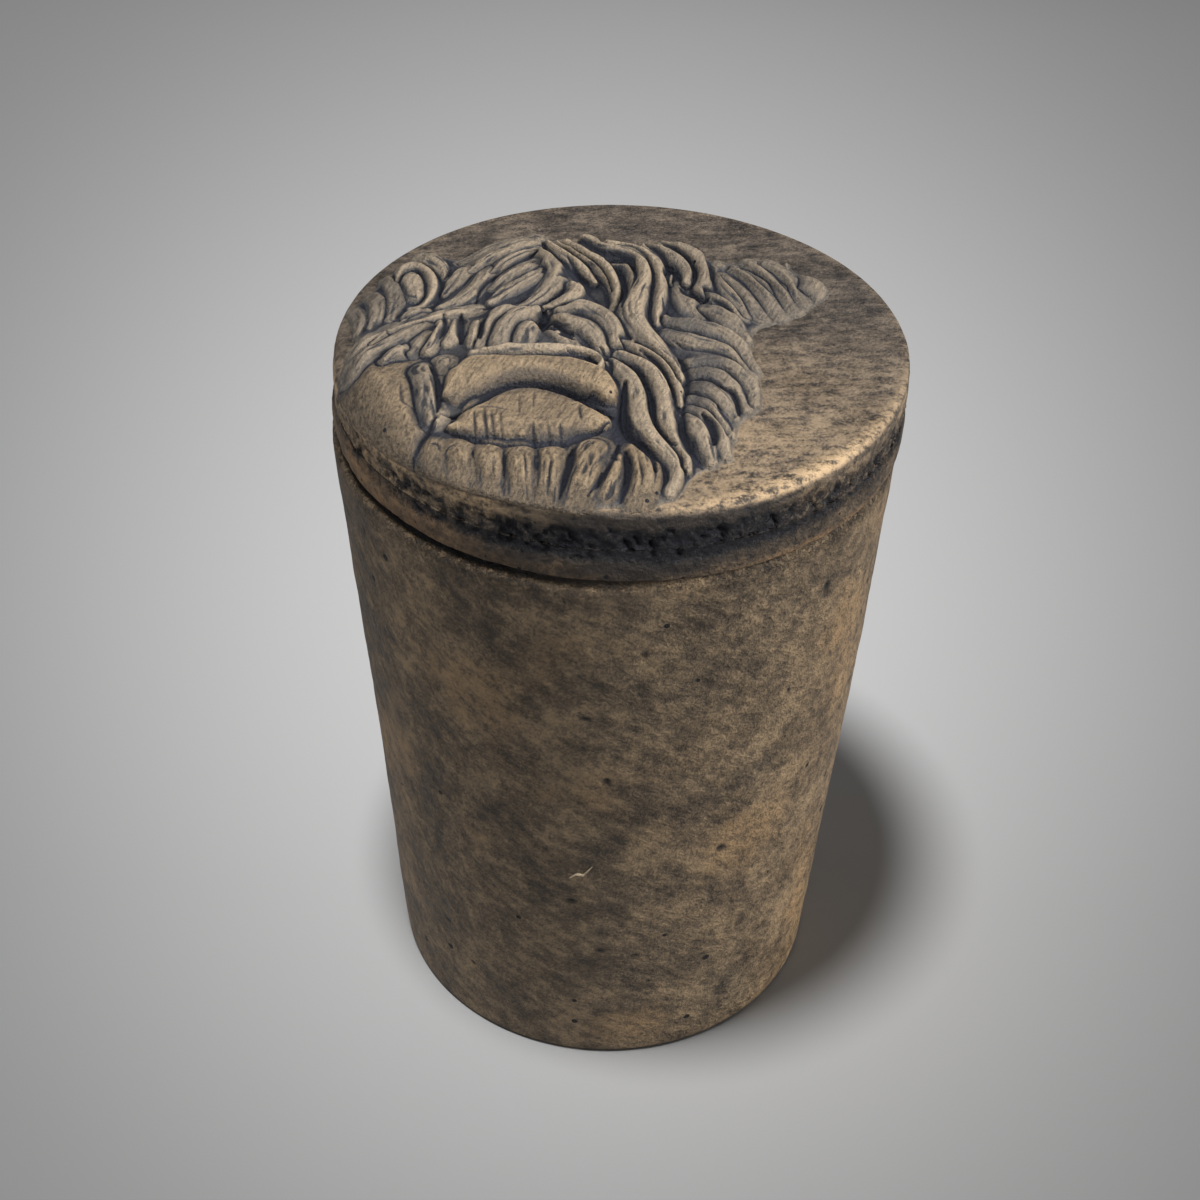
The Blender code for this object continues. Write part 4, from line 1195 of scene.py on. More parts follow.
        # Paler toward the right: partly painted light on the wall's lit side, partly lighter patina.
        right = bell_round(x, y, -22.0, 42.0) * (1.0 - 0.65 * ease(z, 128.0, 172.0))
        rub_and_painted_light = 0.05 * cloud + 0.50 * ease(cloud, 0.55, 0.95) + 0.50 * right * cloud
        wear_and_painted_light = outside * np.clip(rub_and_painted_light, 0.0, 1.0) * (1.0 - 0.6 * rim_zone)
        chipped = bell_round(x, y, -115.0, 62.0) * rim_zone * (1.0 - painted_gap_shade)
        wear_and_painted_light += 0.42 * chipped * outside * np.clip(cloud, 0.3, 1.0)
        pitted = outside * rim_zone * (0.55 + 0.5 * self.noise.at(plain + 3.0, 24.0, 2))
        piece = clay.grid.piece("wall_of_pot", clay.places(push), finish, stain_and_painted_shade, wear_and_painted_light, pitted)
        dress(piece, Body.POT, ("pot_wall",))

    def build_base(self, finish: bpy.types.Material) -> None:
        """Turn the base slab that is wedged in the foot, its top left a little uneven by the hand.

        Args:
            finish: its material.
        """
        top, top_radius = self.base_height, self.base_top_radius
        low_radius = self.foot_radius - self.wall - self.base_gap
        profile = run((4.0, top), (top_radius, top), 3.0)
        profile += run((top_radius, top), (low_radius, 0.0), 2.0)
        profile += run((low_radius, 0.0), (2.0, 0.0), 6.0)
        clay = TurnedClay(profile, 160, False)
        plain = clay.plain()
        push = -0.25 * ease(plain[..., 2], top - 1.0, top) * (1.0 + self.noise.at(plain, 14.0, 3))
        piece = clay.grid.piece("base_of_pot", clay.places(push), finish)
        dress(piece, Body.POT, ("pot_base",))

    def build_scratch(self) -> None:
        """Make the pale scratch on the front: a low ridge of bare clay whose section is a flat oval.

        Its middle line runs through the scratch's points on the wall, and its width falls off at both ends.
        """
        steps, sides = 26, 8
        share = np.linspace(0.0, 1.0, steps)
        given = np.linspace(0.0, 1.0, len(self.scratch))
        degrees, height = (np.interp(share, given, row) for row in zip(*self.scratch))
        turn = np.radians(degrees)
        radius = self.foot_radius + (self.rim_radius - self.foot_radius) * height / self.height
        spots = np.stack([radius * np.cos(turn), radius * np.sin(turn), height], axis=-1)
        radius = radius + self.uneven(spots) + self.scratch_rise
        swing = -np.arange(sides) * (2.0 * math.pi / sides)
        width = self.scratch_width * np.sqrt(np.clip(np.sin(share * math.pi), 0.02, 1.0))[:, None]
        out = radius[:, None] + 0.5 * width * np.sin(swing)
        up = height[:, None] + width * np.cos(swing)
        places = np.stack([out * np.cos(turn)[:, None], out * np.sin(turn)[:, None], up], axis=-1)
        grid = ClayGrid(steps, sides, False)
        piece = grid.piece("scratch_of_wall", places, BARE_FINISH.material(), wear_and_painted_light=0.5)
        dress(piece, Body.POT, ())


@dataclass
class LidBody:
    """The lid: a top slab with a rolled edge, the band under it and the flange in the mouth.

    Attributes:
        crisp_edge: least round of the lid's upper edge.
        left_round: how much rounder that edge is at the left.
        front_round: how much rounder it is at the front right.
        back_reach: how far the lid stands out at the back right.
        join_chamfer: bevel along the join of slab and band.
        join_seal: how far the slab sinks into the band.
        low_round: round of the band's and the flange's lower edges.
        band_width: width of the band from its outer to its inner side.
        flange_width: thickness of the flange.
        columns: how many steps round the axis.
        noise: the clay's unevenness.
    """

    crisp_edge: float = 1.5
    left_round: float = 3.4
    front_round: float = 1.5
    back_reach: float = 0.9
    join_chamfer: float = 0.06
    join_seal: float = 0.22
    low_round: float = 1.0
    band_width: float = 17.0
    flange_width: float = 8.0
    columns: int = 860
    noise: ClayNoise = field(default_factory=lambda: ClayNoise(23))

    def __post_init__(self) -> None:
        """Take the other sizes from the frame's boxes."""
        low, high = box_of("lid_top_slab")
        self.radius, self.bottom, self.top = high[0], low[2], high[2]
        band_low, band_high = box_of("lid_rim_band")
        self.band_bottom, self.band_top = band_low[2], band_high[2]
        flange_low, flange_high = box_of("lid_flange")
        self.flange_radius = flange_high[0]
        self.flange_bottom, self.flange_top = flange_low[2], flange_high[2]

    def edge(self, x: np.ndarray, y: np.ndarray) -> tuple[np.ndarray, np.ndarray]:
        """The lid's radius and the round of its edge toward places in plan.

        Args:
            x: plan places.
            y: plan places.

        Returns:
            The radius and the round at each place.
        """
        round_off = self.crisp_edge + self.left_round * bell_round(x, y, -158.0, 34.0)
        round_off = round_off + self.front_round * bell_round(x, y, -52.0, 34.0)
        return self.radius + self.back_reach * bell_round(x, y, 55.0, 62.0), round_off

    def roll(self, x: np.ndarray, y: np.ndarray) -> np.ndarray:
        """How far places in plan have rolled over the edge, from 0 on the flat top to 1 on the side."""
        outer, round_off = self.edge(x, y)
        return np.clip((np.hypot(x, y) - outer + round_off) / round_off / (math.pi / 2), 0.0, 1.0)

    @staticmethod
    def front(x: np.ndarray, y: np.ndarray) -> np.ndarray:
        """How far places in plan lie toward the viewer, from 0 at the back to 1 at the front."""
        return ease(0.1 * x - y, -20.0, 52.0)

    def swell(self, x: np.ndarray, y: np.ndarray) -> np.ndarray:
        """Gentle unevenness of the slab's top, by place in plan."""
        places = np.stack([x, y, np.zeros_like(x)], axis=-1)
        return 0.22 * self.noise.at(places, 34.0, 2) + 0.05 * self.noise.at(places, 5.0, 2)

    def lift(self, x: np.ndarray, y: np.ndarray, height: np.ndarray) -> np.ndarray:
        """Carry a plan point and a height onto the lid: flat in the middle, rolled over the rim beyond.

        Beyond the flat top the distance in plan becomes the arc of the rim's round, and the height points
        along that arc's normal.

        Args:
            x: plan places.
            y: plan places.
            height: distance over the lid's surface.

        Returns:
            Points in space.
        """
        outer, round_off = self.edge(x, y)
        reach = np.maximum(np.hypot(x, y), 1e-6)
        flat = outer - round_off
        turn = self.roll(x, y) * (math.pi / 2)
        radius = np.minimum(reach, flat) + (round_off + height) * np.sin(turn)
        up = self.top - round_off + (round_off + height) * np.cos(turn)
        up = up - np.maximum(reach - flat - round_off * (math.pi / 2), 0.0)
        return np.stack([x / reach * radius, y / reach * radius, up], axis=-1)

    def build(self) -> None:
        """Make the slab, the band and the flange."""
        side = SIDE_FINISH.material()
        self.build_slab(LID_FINISH.material())
        self.build_band(side)
        self.build_flange(side)

    def patches(self, places: np.ndarray) -> np.ndarray:
        """Broad patches of more and less broken clay on the lid's side, about 0."""
        return 0.75 * self.noise.at(places * (1.0, 1.0, 0.4) + 60.0, 15.0, 3)

    def pocks(
        self, places: np.ndarray, broken: np.ndarray, zone: np.ndarray
    ) -> tuple[np.ndarray, np.ndarray]:
        """Holes in the broken part of the lid's side, and finer specks over the whole zone of the side.

        Args:
            places: points of the side.
            broken: how broken the clay is at each.
            zone: 1 on the side and 0 elsewhere.

        Returns:
            The depth of the holes and of the specks, from 0 to 1.
        """
        holes = ease(self.noise.at(places + 17.0, 2.1, 2), 0.05, 0.45) * broken
        specks = ease(self.noise.at(places + 31.0, 1.7, 2), 0.10, 0.42) * zone
        return holes, specks * (0.35 + 0.65 * broken)

    def build_slab(self, finish: bpy.types.Material) -> None:
        """Make the top slab: rings in plan that roll over the edge and down the side, and a flat underside.

        The side is broken by pits toward its join with the band, and painted shade darkens the edge's roll
        and the side, most at the front. Painted light makes the top paler toward the viewer, painted shade
        darkens it toward its back right, and a painted highlight lies along its front right edge.

        Args:
            finish: its material.
        """
        angle = np.arange(self.columns) * (2.0 * math.pi / self.columns)
        ray_x, ray_y = np.cos(angle), np.sin(angle)
        outer, round_off = self.edge(ray_x, ray_y)
        flat, arc = outer - round_off, round_off * (math.pi / 2)
        bottom = self.bottom - self.join_seal
        drop = self.top - round_off - bottom - self.join_chamfer
        reach = np.concatenate([
            np.linspace(0.02, 1.0, 58)[:, None] * flat,
            flat + np.linspace(0.0, 1.0, 13)[1:, None] * arc,
            flat + arc + np.linspace(0.0, 1.0, 17)[1:, None] * drop,
        ])
        x, y = reach * ray_x, reach * ray_y
        plain = self.lift(x, y, np.zeros_like(x))
        rolled = self.roll(x, y)
        top_zone, side_zone = 1.0 - ease(rolled, 0.1, 0.9), ease(rolled, 0.5, 1.0)
        dark_front = bell_round(x, y, -82.0, 33.0)
        front_right = bell_round(x, y, -54.0, 33.0)
        left = bell_round(x, y, -142.0, 42.0)
        broken = ease(self.bottom + 6.8 - plain[..., 2], 0.0, 4.2) * side_zone
        broken *= np.clip(0.55 + self.patches(plain) + 0.35 * dark_front, 0.0, 1.0)
        holes, specks = self.pocks(plain, broken, side_zone)
        push = top_zone * self.swell(x, y) - 1.2 * holes - 0.35 * specks
        push += side_zone * (0.30 * self.noise.at(plain, 5.0, 3) - 0.1)
        # Painted shade: the edge's roll and the side are darkened in patches, most at the front, but not
        # where the front right edge is lit.
        shaded = np.maximum(ease(rolled, 0.05, 0.55) * (1.0 - 0.8 * front_right), side_zone)
        shaded *= 0.04 + 0.50 * dark_front + 0.30 * self.noise.at(plain * (1.0, 1.0, 2.0), 16.0, 3)
        # Painted shade: the top darkens toward its back right rim.
        dim = top_zone * ease(reach, 30.0, 72.0) * bell_round(x, y, 22.0, 46.0)
        stain_and_painted_shade = np.clip(shaded, 0.0, 1.0) + (0.08 + 0.15 * dark_front) * broken
        stain_and_painted_shade += 0.7 * holes + 0.22 * dim + 0.5 * specks
        # Painted highlight along the top's edge, broad and strong at the front right, faint elsewhere.
        rub_and_painted_light = ease(reach - outer, -4.0 - 5.0 * front_right, -1.0) * (1.0 - ease(rolled, 0.45, 0.85))
        # Painted light: the top is paler toward the viewer, in patches, and less so where its back right is
        # darkened.
        paler = top_zone * self.front(x, y) * (0.55 + 0.35 * self.noise.at(plain + 7.0, 18.0, 3))
        paler = (0.03 * top_zone + 0.48 * paler) * (1.0 - 0.6 * dim)
        wear_and_painted_light = np.maximum(rub_and_painted_light * (0.10 + 0.90 * front_right), paler)
        brown = side_zone * (1.0 - 0.7 * broken)
        brown *= 0.34 + 0.64 * left + 0.5 * self.noise.at(plain + 44.0, 11.0, 3)
        wear_and_painted_light = np.maximum(wear_and_painted_light, np.clip(brown, 0.0, 1.0) * (1.0 - 0.75 * dark_front))
        pitted = broken * (1.0 - 0.45 * left)
        under = run((self.radius - self.join_chamfer, bottom), (3.0, bottom), 9.0)
        places = np.concatenate([self.lift(x, y, push), TurnedClay(under, self.columns, False).plain()])
        numbers = (np.pad(values, ((0, len(under)), (0, 0))) for values in (stain_and_painted_shade, wear_and_painted_light, pitted))
        piece = ClayGrid(len(places), self.columns, False).piece("slab_of_lid", places, finish, *numbers)
        dress(piece, Body.LID, ("lid_top_slab",))

    def band_profile(self) -> Profile:
        """The band's section: out along its top, down the outside, in along its bottom, up the inside."""
        low, high, chamfer, bow = self.band_bottom, self.band_top, self.join_chamfer, self.low_round
        outer, inner = self.radius, self.radius - self.band_width
        profile = run((inner, high), (outer - chamfer, high), 4.0)
        profile += run((outer - chamfer, high), (outer, high - chamfer), 0.5)
        profile += run((outer, high - chamfer), (outer, low + bow), 0.45)
        profile += bend((outer - bow, low + bow), bow, 0, -90, 6)
        profile += run((outer - bow, low), (inner, low), 3.0)
        return profile + run((inner, low), (inner, high), 3.0)

    def build_band(self, finish: bpy.types.Material) -> None:
        """Turn the band under the slab: it swells a little, most at the left, and its upper edge is pitted.

        Painted shade darkens it at the front, along its top and on its underside; it is wiped at the left,
        and a painted highlight runs along its lower edge at the front right.

        Args:
            finish: its material.
        """
        low, high = self.band_bottom, self.band_top
        clay = TurnedClay(self.band_profile(), self.columns, True)
        plain = clay.plain()
        x, y, z = plain[..., 0], plain[..., 1], plain[..., 2]
        outside = ease(clay.normals[:, :1], 0.3, 0.8) * np.ones_like(z)
        dark_front = bell_round(x, y, -82.0, 36.0)
        left = bell_round(x, y, -146.0, 32.0)
        broken = ease(z, high - 4.6, high - 0.6) * outside * np.clip(0.50 + self.patches(plain), 0.0, 1.0)
        holes, specks = self.pocks(plain, broken, outside)
        swelling = np.sin(np.clip((z - low) / (high - low), 0.0, 1.0) * math.pi)
        swelling *= 0.35 + 0.4 * bell_round(x, y, 180.0, 40.0)
        push = outside * (swelling + 0.30 * self.noise.at(plain + 9.0, 6.0, 3)) - 1.2 * holes - 0.3 * specks
        # Painted shade on the band's underside and lowest edge.
        under = ease(low + 0.9 - z, 0.0, 0.8)
        stain_and_painted_shade = outside * (0.14 * broken + 0.10 + 0.30 * self.noise.at(plain, 12.0, 3))
        stain_and_painted_shade += 0.8 * holes + 0.5 * specks
        # Painted shade: the band is darker at the front above its lower edge, and darker still along its
        # top, most at the front.
        stain_and_painted_shade += 0.34 * dark_front * outside * ease(z, low + 1.5, low + 4.5)
        stain_and_painted_shade += (0.08 + 0.50 * dark_front) * outside * ease(z, high - 4.0, high - 0.4)
        # Painted shade along the band's top edge at the front, where it meets the slab.
        join = 0.5 * dark_front * ease(z, high - 0.7, high - 0.15)
        stain_and_painted_shade = np.maximum(stain_and_painted_shade, np.maximum(under, join))
        # Painted highlight along the band's lower edge, strongest at the front right.
        low_lip = ease(low + 3.0 - z, 0.0, 2.4) * outside * (1.0 - under)
        wear_and_painted_light = (0.05 + 0.55 * left) * outside * (1.0 - 0.6 * broken)
        wear_and_painted_light += low_lip * (0.02 + 0.62 * bell_round(x, y, -45.0, 20.0))
        piece = clay.grid.piece("band_of_lid", clay.places(push), finish, stain_and_painted_shade, wear_and_painted_light, broken)
        dress(piece, Body.LID, ("lid_rim_band",))

    def build_flange(self, finish: bpy.types.Material) -> None:
        """Turn the flange that drops into the mouth.

        Args:
            finish: its material.
        """
        low, high, bow = self.flange_bottom, self.flange_top, self.low_round
        outer, inner = self.flange_radius, self.flange_radius - self.flange_width
        profile = run((inner, high), (outer, high), 2.0)
        profile += run((outer, high), (outer, low + bow), 0.9)
        profile += bend((outer - bow, low + bow), bow, 0, -90, 6)
        profile += run((outer - bow, low), (inner, low), 1.6)
        profile += run((inner, low), (inner, high), 1.2)
        clay = TurnedClay(profile, 400, True)
        plain = clay.plain()
        push = ease(high - plain[..., 2], 0.2, 2.0) * (0.22 * self.noise.at(plain + 70.0, 9.0, 3) - 0.1)
        piece = clay.grid.piece("flange_of_lid", clay.places(push), finish)
        dress(piece, Body.LID, ("lid_flange",))


FACE_PADS = ("muzzle", "lower_lip", "left_cheek")


@dataclass
class Claims:
    """What the locks say at every place of the relief's grid.

    Attributes:
        first: distance from the nearest ridge as a share of its lock's reach, with the pads' handicap.
        second: the same for the next nearest ridge.
        own: distance from the nearest ridge without the handicap.
        lock: number of the nearest lock, or -1.
        ridge: height of its ridge.
        roundness: exponent of its cross section.
        strands: height of the fine lines along it.
        pool: share of stain left beside it.
        rub: how far its ridge is wiped clean.
        lean: lean of its crest toward the place's side of it.
        root: how near its first end the place is, where it is a tail.
        weight: how many locks come near the place, each by how near it comes.
        ridges: sum of those locks' heights by the same weights.
        drops: sum of the depths of their valleys by the same weights.
    """

    first: np.ndarray
    second: np.ndarray
    own: np.ndarray
    lock: np.ndarray
    ridge: np.ndarray
    roundness: np.ndarray
    strands: np.ndarray
    pool: np.ndarray
    rub: np.ndarray
    lean: np.ndarray
    root: np.ndarray
    weight: np.ndarray
    ridges: np.ndarray
    drops: np.ndarray


@dataclass
class Relief:
    """The animal's head: a height over the lid's surface on a fine plan grid, cut into its pieces.

    Attributes:
        lid: the lid that it lies on.
        pitch: spacing of the grid.
        half_side: half the grid's side.
        sink: how far the pieces reach down into the lid.
        lone_reach: how far a lock's clay goes beyond its reach.
        pad_handicap: how far a strip is preferred to a pad under it.
        valley_blur: spread of the blur that evens out the valleys.
        cover_blur: spread of the blur along the head's border.
        edge_blur: spread of the blur that keeps stain away from that border.
        noise: the clay's unevenness.
    """

    lid: LidBody
    pitch: float = 0.3
    half_side: float = 77.4
    sink: float = 0.8
    lone_reach: float = 1.02
    pad_handicap: float = 0.35
    valley_blur: float = 2.4
    cover_blur: float = 0.45
    edge_blur: float = 1.6
    noise: ClayNoise = field(default_factory=lambda: ClayNoise(47))

    def __post_init__(self) -> None:
        """Lay out the plan grid."""
        self.names = sorted({lock.node for lock in LOCKS})
        axis = np.arange(-self.half_side, self.half_side + self.pitch / 2, self.pitch)
        self.x, self.y = np.meshgrid(axis, axis, indexing="ij")
        self.places = np.stack([self.x, self.y, np.zeros_like(self.x)], axis=-1)
        self.start = float(axis[0])

    def soften(self, values: np.ndarray, reach: float) -> np.ndarray:
        """Blur a field by three moving averages each way, which come close to a bell curve.

        Args:
            values: the field on the grid.
            reach: the bell curve's spread in millimetres.

        Returns:
            The blurred field.
        """
        half = max(1, round(reach / self.pitch - 0.5))
        for _ in range(3):
            for _ in range(2):
                padded = np.pad(values, ((half + 1, half), (0, 0)), mode="edge")
                total = np.cumsum(padded, axis=0)
                values = ((total[2 * half + 1:] - total[:-2 * half - 1]) / (2 * half + 1)).T
        return values

    @staticmethod
    def curve(points: Plan) -> np.ndarray:
        """A smooth curve through given points, at even steps: a cubic between each two, set by four points.

        Args:
            points: rows of two or three numbers.

        Returns:
            The same columns at steps of about half a millimetre.
        """
        given = np.array(points, dtype=float)
        ends = np.vstack([2 * given[0] - given[1], given, 2 * given[-1] - given[-2]])
        t = np.linspace(0, 1, 16, endpoint=False)[:, None]
        runs = []
        for a, b, c, d in zip(ends[:-3], ends[1:-2], ends[2:-1], ends[3:]):
            runs.append(b + 0.5 * t * (c - a + t * (2 * a - 5 * b + 4 * c - d + t * (3 * (b - c) + d - a))))
        line = np.vstack([*runs, given[-1:]])
        length = np.append(0.0, np.cumsum(np.linalg.norm(np.diff(line[:, :2], axis=0), axis=1)))
        at = np.linspace(0.0, length[-1], max(6, round(length[-1] / 0.5)))
        return np.column_stack([np.interp(at, length, column) for column in line.T])

    def window(self, line: np.ndarray, margin: float) -> Window:
        """The part of the grid within a margin of a line.

        Args:
            line: points of the line.
            margin: the margin.

        Returns:
            The rows and columns of that part.
        """
        low = np.floor((line[:, :2].min(axis=0) - margin - self.start) / self.pitch).astype(int)
        high = np.ceil((line[:, :2].max(axis=0) + margin - self.start) / self.pitch).astype(int) + 1
        count = len(self.x)
        return tuple(slice(max(0, a), min(count, b)) for a, b in zip(low, high))

    def lay(self, line: np.ndarray, window: Window) -> tuple[np.ndarray, np.ndarray, np.ndarray]:
        """Where grid places lie along and across a line.

        Args:
            line: points of the line.
            window: the part of the grid to look at.

        Returns:
            The share along the line, the distance from it, and the side: +1 left, -1 right.
        """
        x, y = self.x[window], self.y[window]
        away_x = x[..., None] - line[:, 0]
        away_y = y[..., None] - line[:, 1]
        apart = away_x**2 + away_y**2
        near = apart.argmin(axis=-1)
        along = np.gradient(line[:, :2], axis=0)
        side = along[near, 0] * (y - line[near, 1]) - along[near, 1] * (x - line[near, 0])
        distance = np.sqrt(np.take_along_axis(apart, near[..., None], axis=-1)[..., 0])
        return near / (len(line) - 1), distance, np.sign(side)

    def claims(self) -> Claims:
        """Lay every lock on the grid and keep what the nearest one says at each place."""
        shape = self.x.shape
        far = (np.full(shape, 9.0) for _ in range(3))
        laid = Claims(*far, np.full(shape, -1), *(np.zeros(shape) for _ in range(10)))
        laid.roundness += 2.0
        for index, lock in enumerate(LOCKS):
            window, reach, top, lines, side, along = self.spread_out(index, lock)
            style = lock.kind.value
            share = np.clip(1.25 - reach, 0.0, 1.0)
            laid.weight[window] += share
            laid.ridges[window] += share * top
            laid.drops[window] += share * style.drop
            claim = reach + (self.pad_handicap if lock.kind is Kind.MASS else 0.0)
            wins = claim < laid.first[window]
            next_best = np.minimum(laid.second[window], claim)
            laid.second[window] = np.where(wins, laid.first[window], next_best)
            root = (1.0 - ease(along, 0.15, 0.70)) * (lock.kind is Kind.TAIL)
            for values, new in (
                (laid.first, claim), (laid.own, reach), (laid.lock, index), (laid.ridge, top),
                (laid.roundness, style.roundness), (laid.strands, style.strand_depth * lines),
                (laid.pool, style.pool), (laid.rub, style.rub), (laid.lean, style.lean * side),
                (laid.root, root),
            ):
                values[window] = np.where(wins, new, values[window])
        return laid

    def shape(self) -> None:
        """Work out the height, the stain and the owner of every grid place.

        Each place goes to the lock whose ridge is nearest in half widths. Its share t of the way from the
        leaning crest to the border with the next lock gives the height, with n the lock's roundness:
        valley + (ridge - valley) (1 - t^n)^0.75.
        """
        laid = self.claims()
        rolled = self.lid.roll(self.x, self.y)
        front = bell_round(self.x, self.y, -60.0, 45.0)
        near = (laid.own < self.lone_reach) * (rolled <= 1.0 - front) * 1.0
        grown = (self.soften(near, self.valley_blur) > 0.10) * 1.0
        filled = np.maximum(near, self.soften(grown, self.valley_blur) > 0.90)
        self.cover = self.soften(filled, self.cover_blur)
        fade = ease(self.cover, 0.10, 0.90)
        sums = (laid.weight, laid.ridges, laid.drops)
        weight, ridges, drops = (self.soften(values, self.valley_blur) for values in sums)
        valley = np.maximum((ridges - drops) / np.maximum(weight, 0.02), 0.4) * fade
        border = np.clip(np.maximum(2.0 * laid.first / (laid.first + laid.second), laid.own), 0.0, 1.0)
        slope = np.abs(border - laid.lean) / np.where(border > laid.lean, 1.0 - laid.lean, 1.0 + laid.lean)
        section = (1.0 - np.clip(slope, 0.0, 1.0) ** laid.roundness) ** 0.75
        self.height = valley + np.maximum(laid.ridge * fade - valley, 0.0) * section
        self.height += laid.strands * section * fade
        stain = self.pooled(laid, slope, ease(self.soften(filled, self.edge_blur), 0.5, 0.95))
        self.rub = laid.rub * section**0.7 * (1.0 - 0.25 * ease(self.x + 0.4 * self.y, 0.0, 26.0))
        self.rub *= 1.0 - 0.42 * ease(-self.x, 44.0, 62.0)
        nodes = np.array([self.names.index(lock.node) for lock in LOCKS] + [-1])
        self.owner = np.where(laid.own < self.lone_reach, nodes[laid.lock], -1)
        for groove in GROOVES:
            self.cut(groove, stain)
        self.finish(fade, stain)

    def pooled(self, laid: Claims, slope: np.ndarray, edge: np.ndarray) -> np.ndarray:
        """Share of stain left beside the locks, in their fine lines, at the tails' roots and between locks.

        Args:
            laid: what the locks say.
            slope: share of the way from the crest to the border.
            edge: 0 along the head's border and 1 inside it.

        Returns:
            The share at every grid place.
        """
        patchy = np.clip(0.75 + 0.7 * self.noise.at(self.places + 90.0, 7.0, 2), 0.3, 1.0)
        stain = laid.pool * patchy * ease(slope - 0.7 * laid.strands, 0.42, 1.0) * edge
        stain = np.maximum(stain, 0.62 * ease(-laid.strands, 0.06, 0.28) * edge)
        stain = np.maximum(stain, 0.42 * laid.root * patchy)
        between = np.maximum(stain, (0.35 + 0.40 * patchy) * edge)
        return np.where(laid.own > 1.0, between, stain)

    def spread_out(
        self, index: int, lock: Lock
    ) -> tuple[Window, np.ndarray, np.ndarray, np.ndarray, np.ndarray, np.ndarray]:
        """Lay one lock on the grid.

        Args:
            index: the lock's number.
            lock: the lock.

        Returns:
            The part of the grid that it touches and, there, the distance from its ridge as a share of its
            reach, its ridge's height, the fine lines along it from -1 to 1, the side of its ridge and the
            share of its run.
        """
        line = self.curve(lock.points)
        style = lock.kind.value
        widths = line[:, 2] if line.shape[1] == 3 else np.full(len(line), lock.half_width)
        window = self.window(line, widths.max() * style.reach * 1.5 + 1.0)
        u, distance, side = self.lay(line, window)
        grow = style.root + (1 - style.root) * ease(u, 0.0, 0.28)
        thin = style.tip + (1 - style.tip) * ease(1 - u, 0.0, 0.42)
        wide = np.interp(u, np.linspace(0, 1, len(line)), widths) * grow * thin
        top = lock.height * (style.tip_rise + (1 - style.tip_rise) * ease(1 - u, 0.0, 0.5))
        top = top * (0.80 + 0.20 * ease(u, 0.0, 0.2))
        along = u * 0.5 * len(line)
        spots = np.stack([along / 7.0, side * distance, np.full_like(u, 3.7 * index)], axis=-1)
        lines = self.noise.at(spots, 0.8, 2)
        return window, distance / (wide * style.reach), top, lines, side, u

    def cut(self, groove: Groove, stain: np.ndarray) -> None:
        """Cut one groove, deepest in its middle, and leave stain in it.

        Args:
            groove: the groove.
            stain: the stain at every grid place, which it adds to.
        """
        line = self.curve(groove.points)
        window = self.window(line, groove.half_width * 2.2)
        u, distance, _ = self.lay(line, window)
        ends = 0.35 + 0.65 * ease(np.minimum(u, 1 - u), 0.0, 0.25)
        section = np.exp(-1.4 * (distance / (groove.half_width * ends)) ** 2)
        self.height[window] -= groove.depth * section
        stain[window] = np.maximum(stain[window], groove.stain * section)

    def finish(self, fade: np.ndarray, stain: np.ndarray) -> None:
        """Roughen the clay, let it down at the rim and the head's border, and read the stain in its
        recesses from it, with painted shade where it rolls over the rim.

        Args:
            fade: 0 outside the head and 1 inside it.
            stain: the stain at every grid place.
        """
        grain = 0.16 * self.noise.at(self.places, 4.5, 2) + 0.07 * self.noise.at(self.places, 1.4, 2)
        self.height += fade * grain
        rolled = self.lid.roll(self.x, self.y)
        inset = self.lid.radius - np.hypot(self.x, self.y)
        self.height *= 1.0 - 0.93 * ease(-inset, -9.5, -0.5)
        self.height = np.maximum(self.height, 0.35 * fade)
        fine = self.soften(self.height, 0.9) - self.height
        broad = self.soften(self.height, 2.8) - self.height
        inner = ease(self.cover, 0.2, 0.7)
        self.stain_and_painted_shade = inner * np.clip(0.85 * fine + 0.34 * broad, 0, None)
        self.stain_and_painted_shade = np.maximum(ease(self.stain_and_painted_shade, 0.04, 0.62), stain * inner)
        # Painted shade where the head rolls over the rim, where its ridges are also wiped less.
        shaded = ease(rolled, 0.10, 0.75) * (0.08 + 0.25 * self.noise.at(self.places, 9.0, 2))
        self.stain_and_painted_shade = np.maximum(self.stain_and_painted_shade, shaded)
        self.rub *= 1.0 - 0.7 * ease(rolled, 0.10, 0.75)
        proud = ease(-(0.9 * fine + 0.30 * broad), -0.10, 0.60)
        self.wear_and_painted_light = inner * np.clip(self.rub * (0.35 + 0.85 * proud), 0.0, 1.0)
        # Painted light: along the head's border the ground is paler toward the viewer, as the lid's top is.
        border = 1.0 - ease(self.cover, 0.30, 0.85)
        self.wear_and_painted_light = np.maximum(self.wear_and_painted_light, 0.30 * border * self.lid.front(self.x, self.y))
        self.stain_and_painted_shade *= 1.0 - 0.5 * border
        for x, y, size in SPECKS:
            speck = np.exp(-(((self.x - x) ** 2 + (self.y - y) ** 2) / size**2))
            self.height += 0.6 * size * speck
            self.wear_and_painted_light = np.maximum(self.wear_and_painted_light, ease(speck, 0.2, 0.7))
            self.stain_and_painted_shade *= 1.0 - ease(speck, 0.2, 0.7)
        self.height += self.lid.swell(self.x, self.y)
        self.height -= 0.9 * (1.0 - ease(self.cover, 0.02, 0.16))

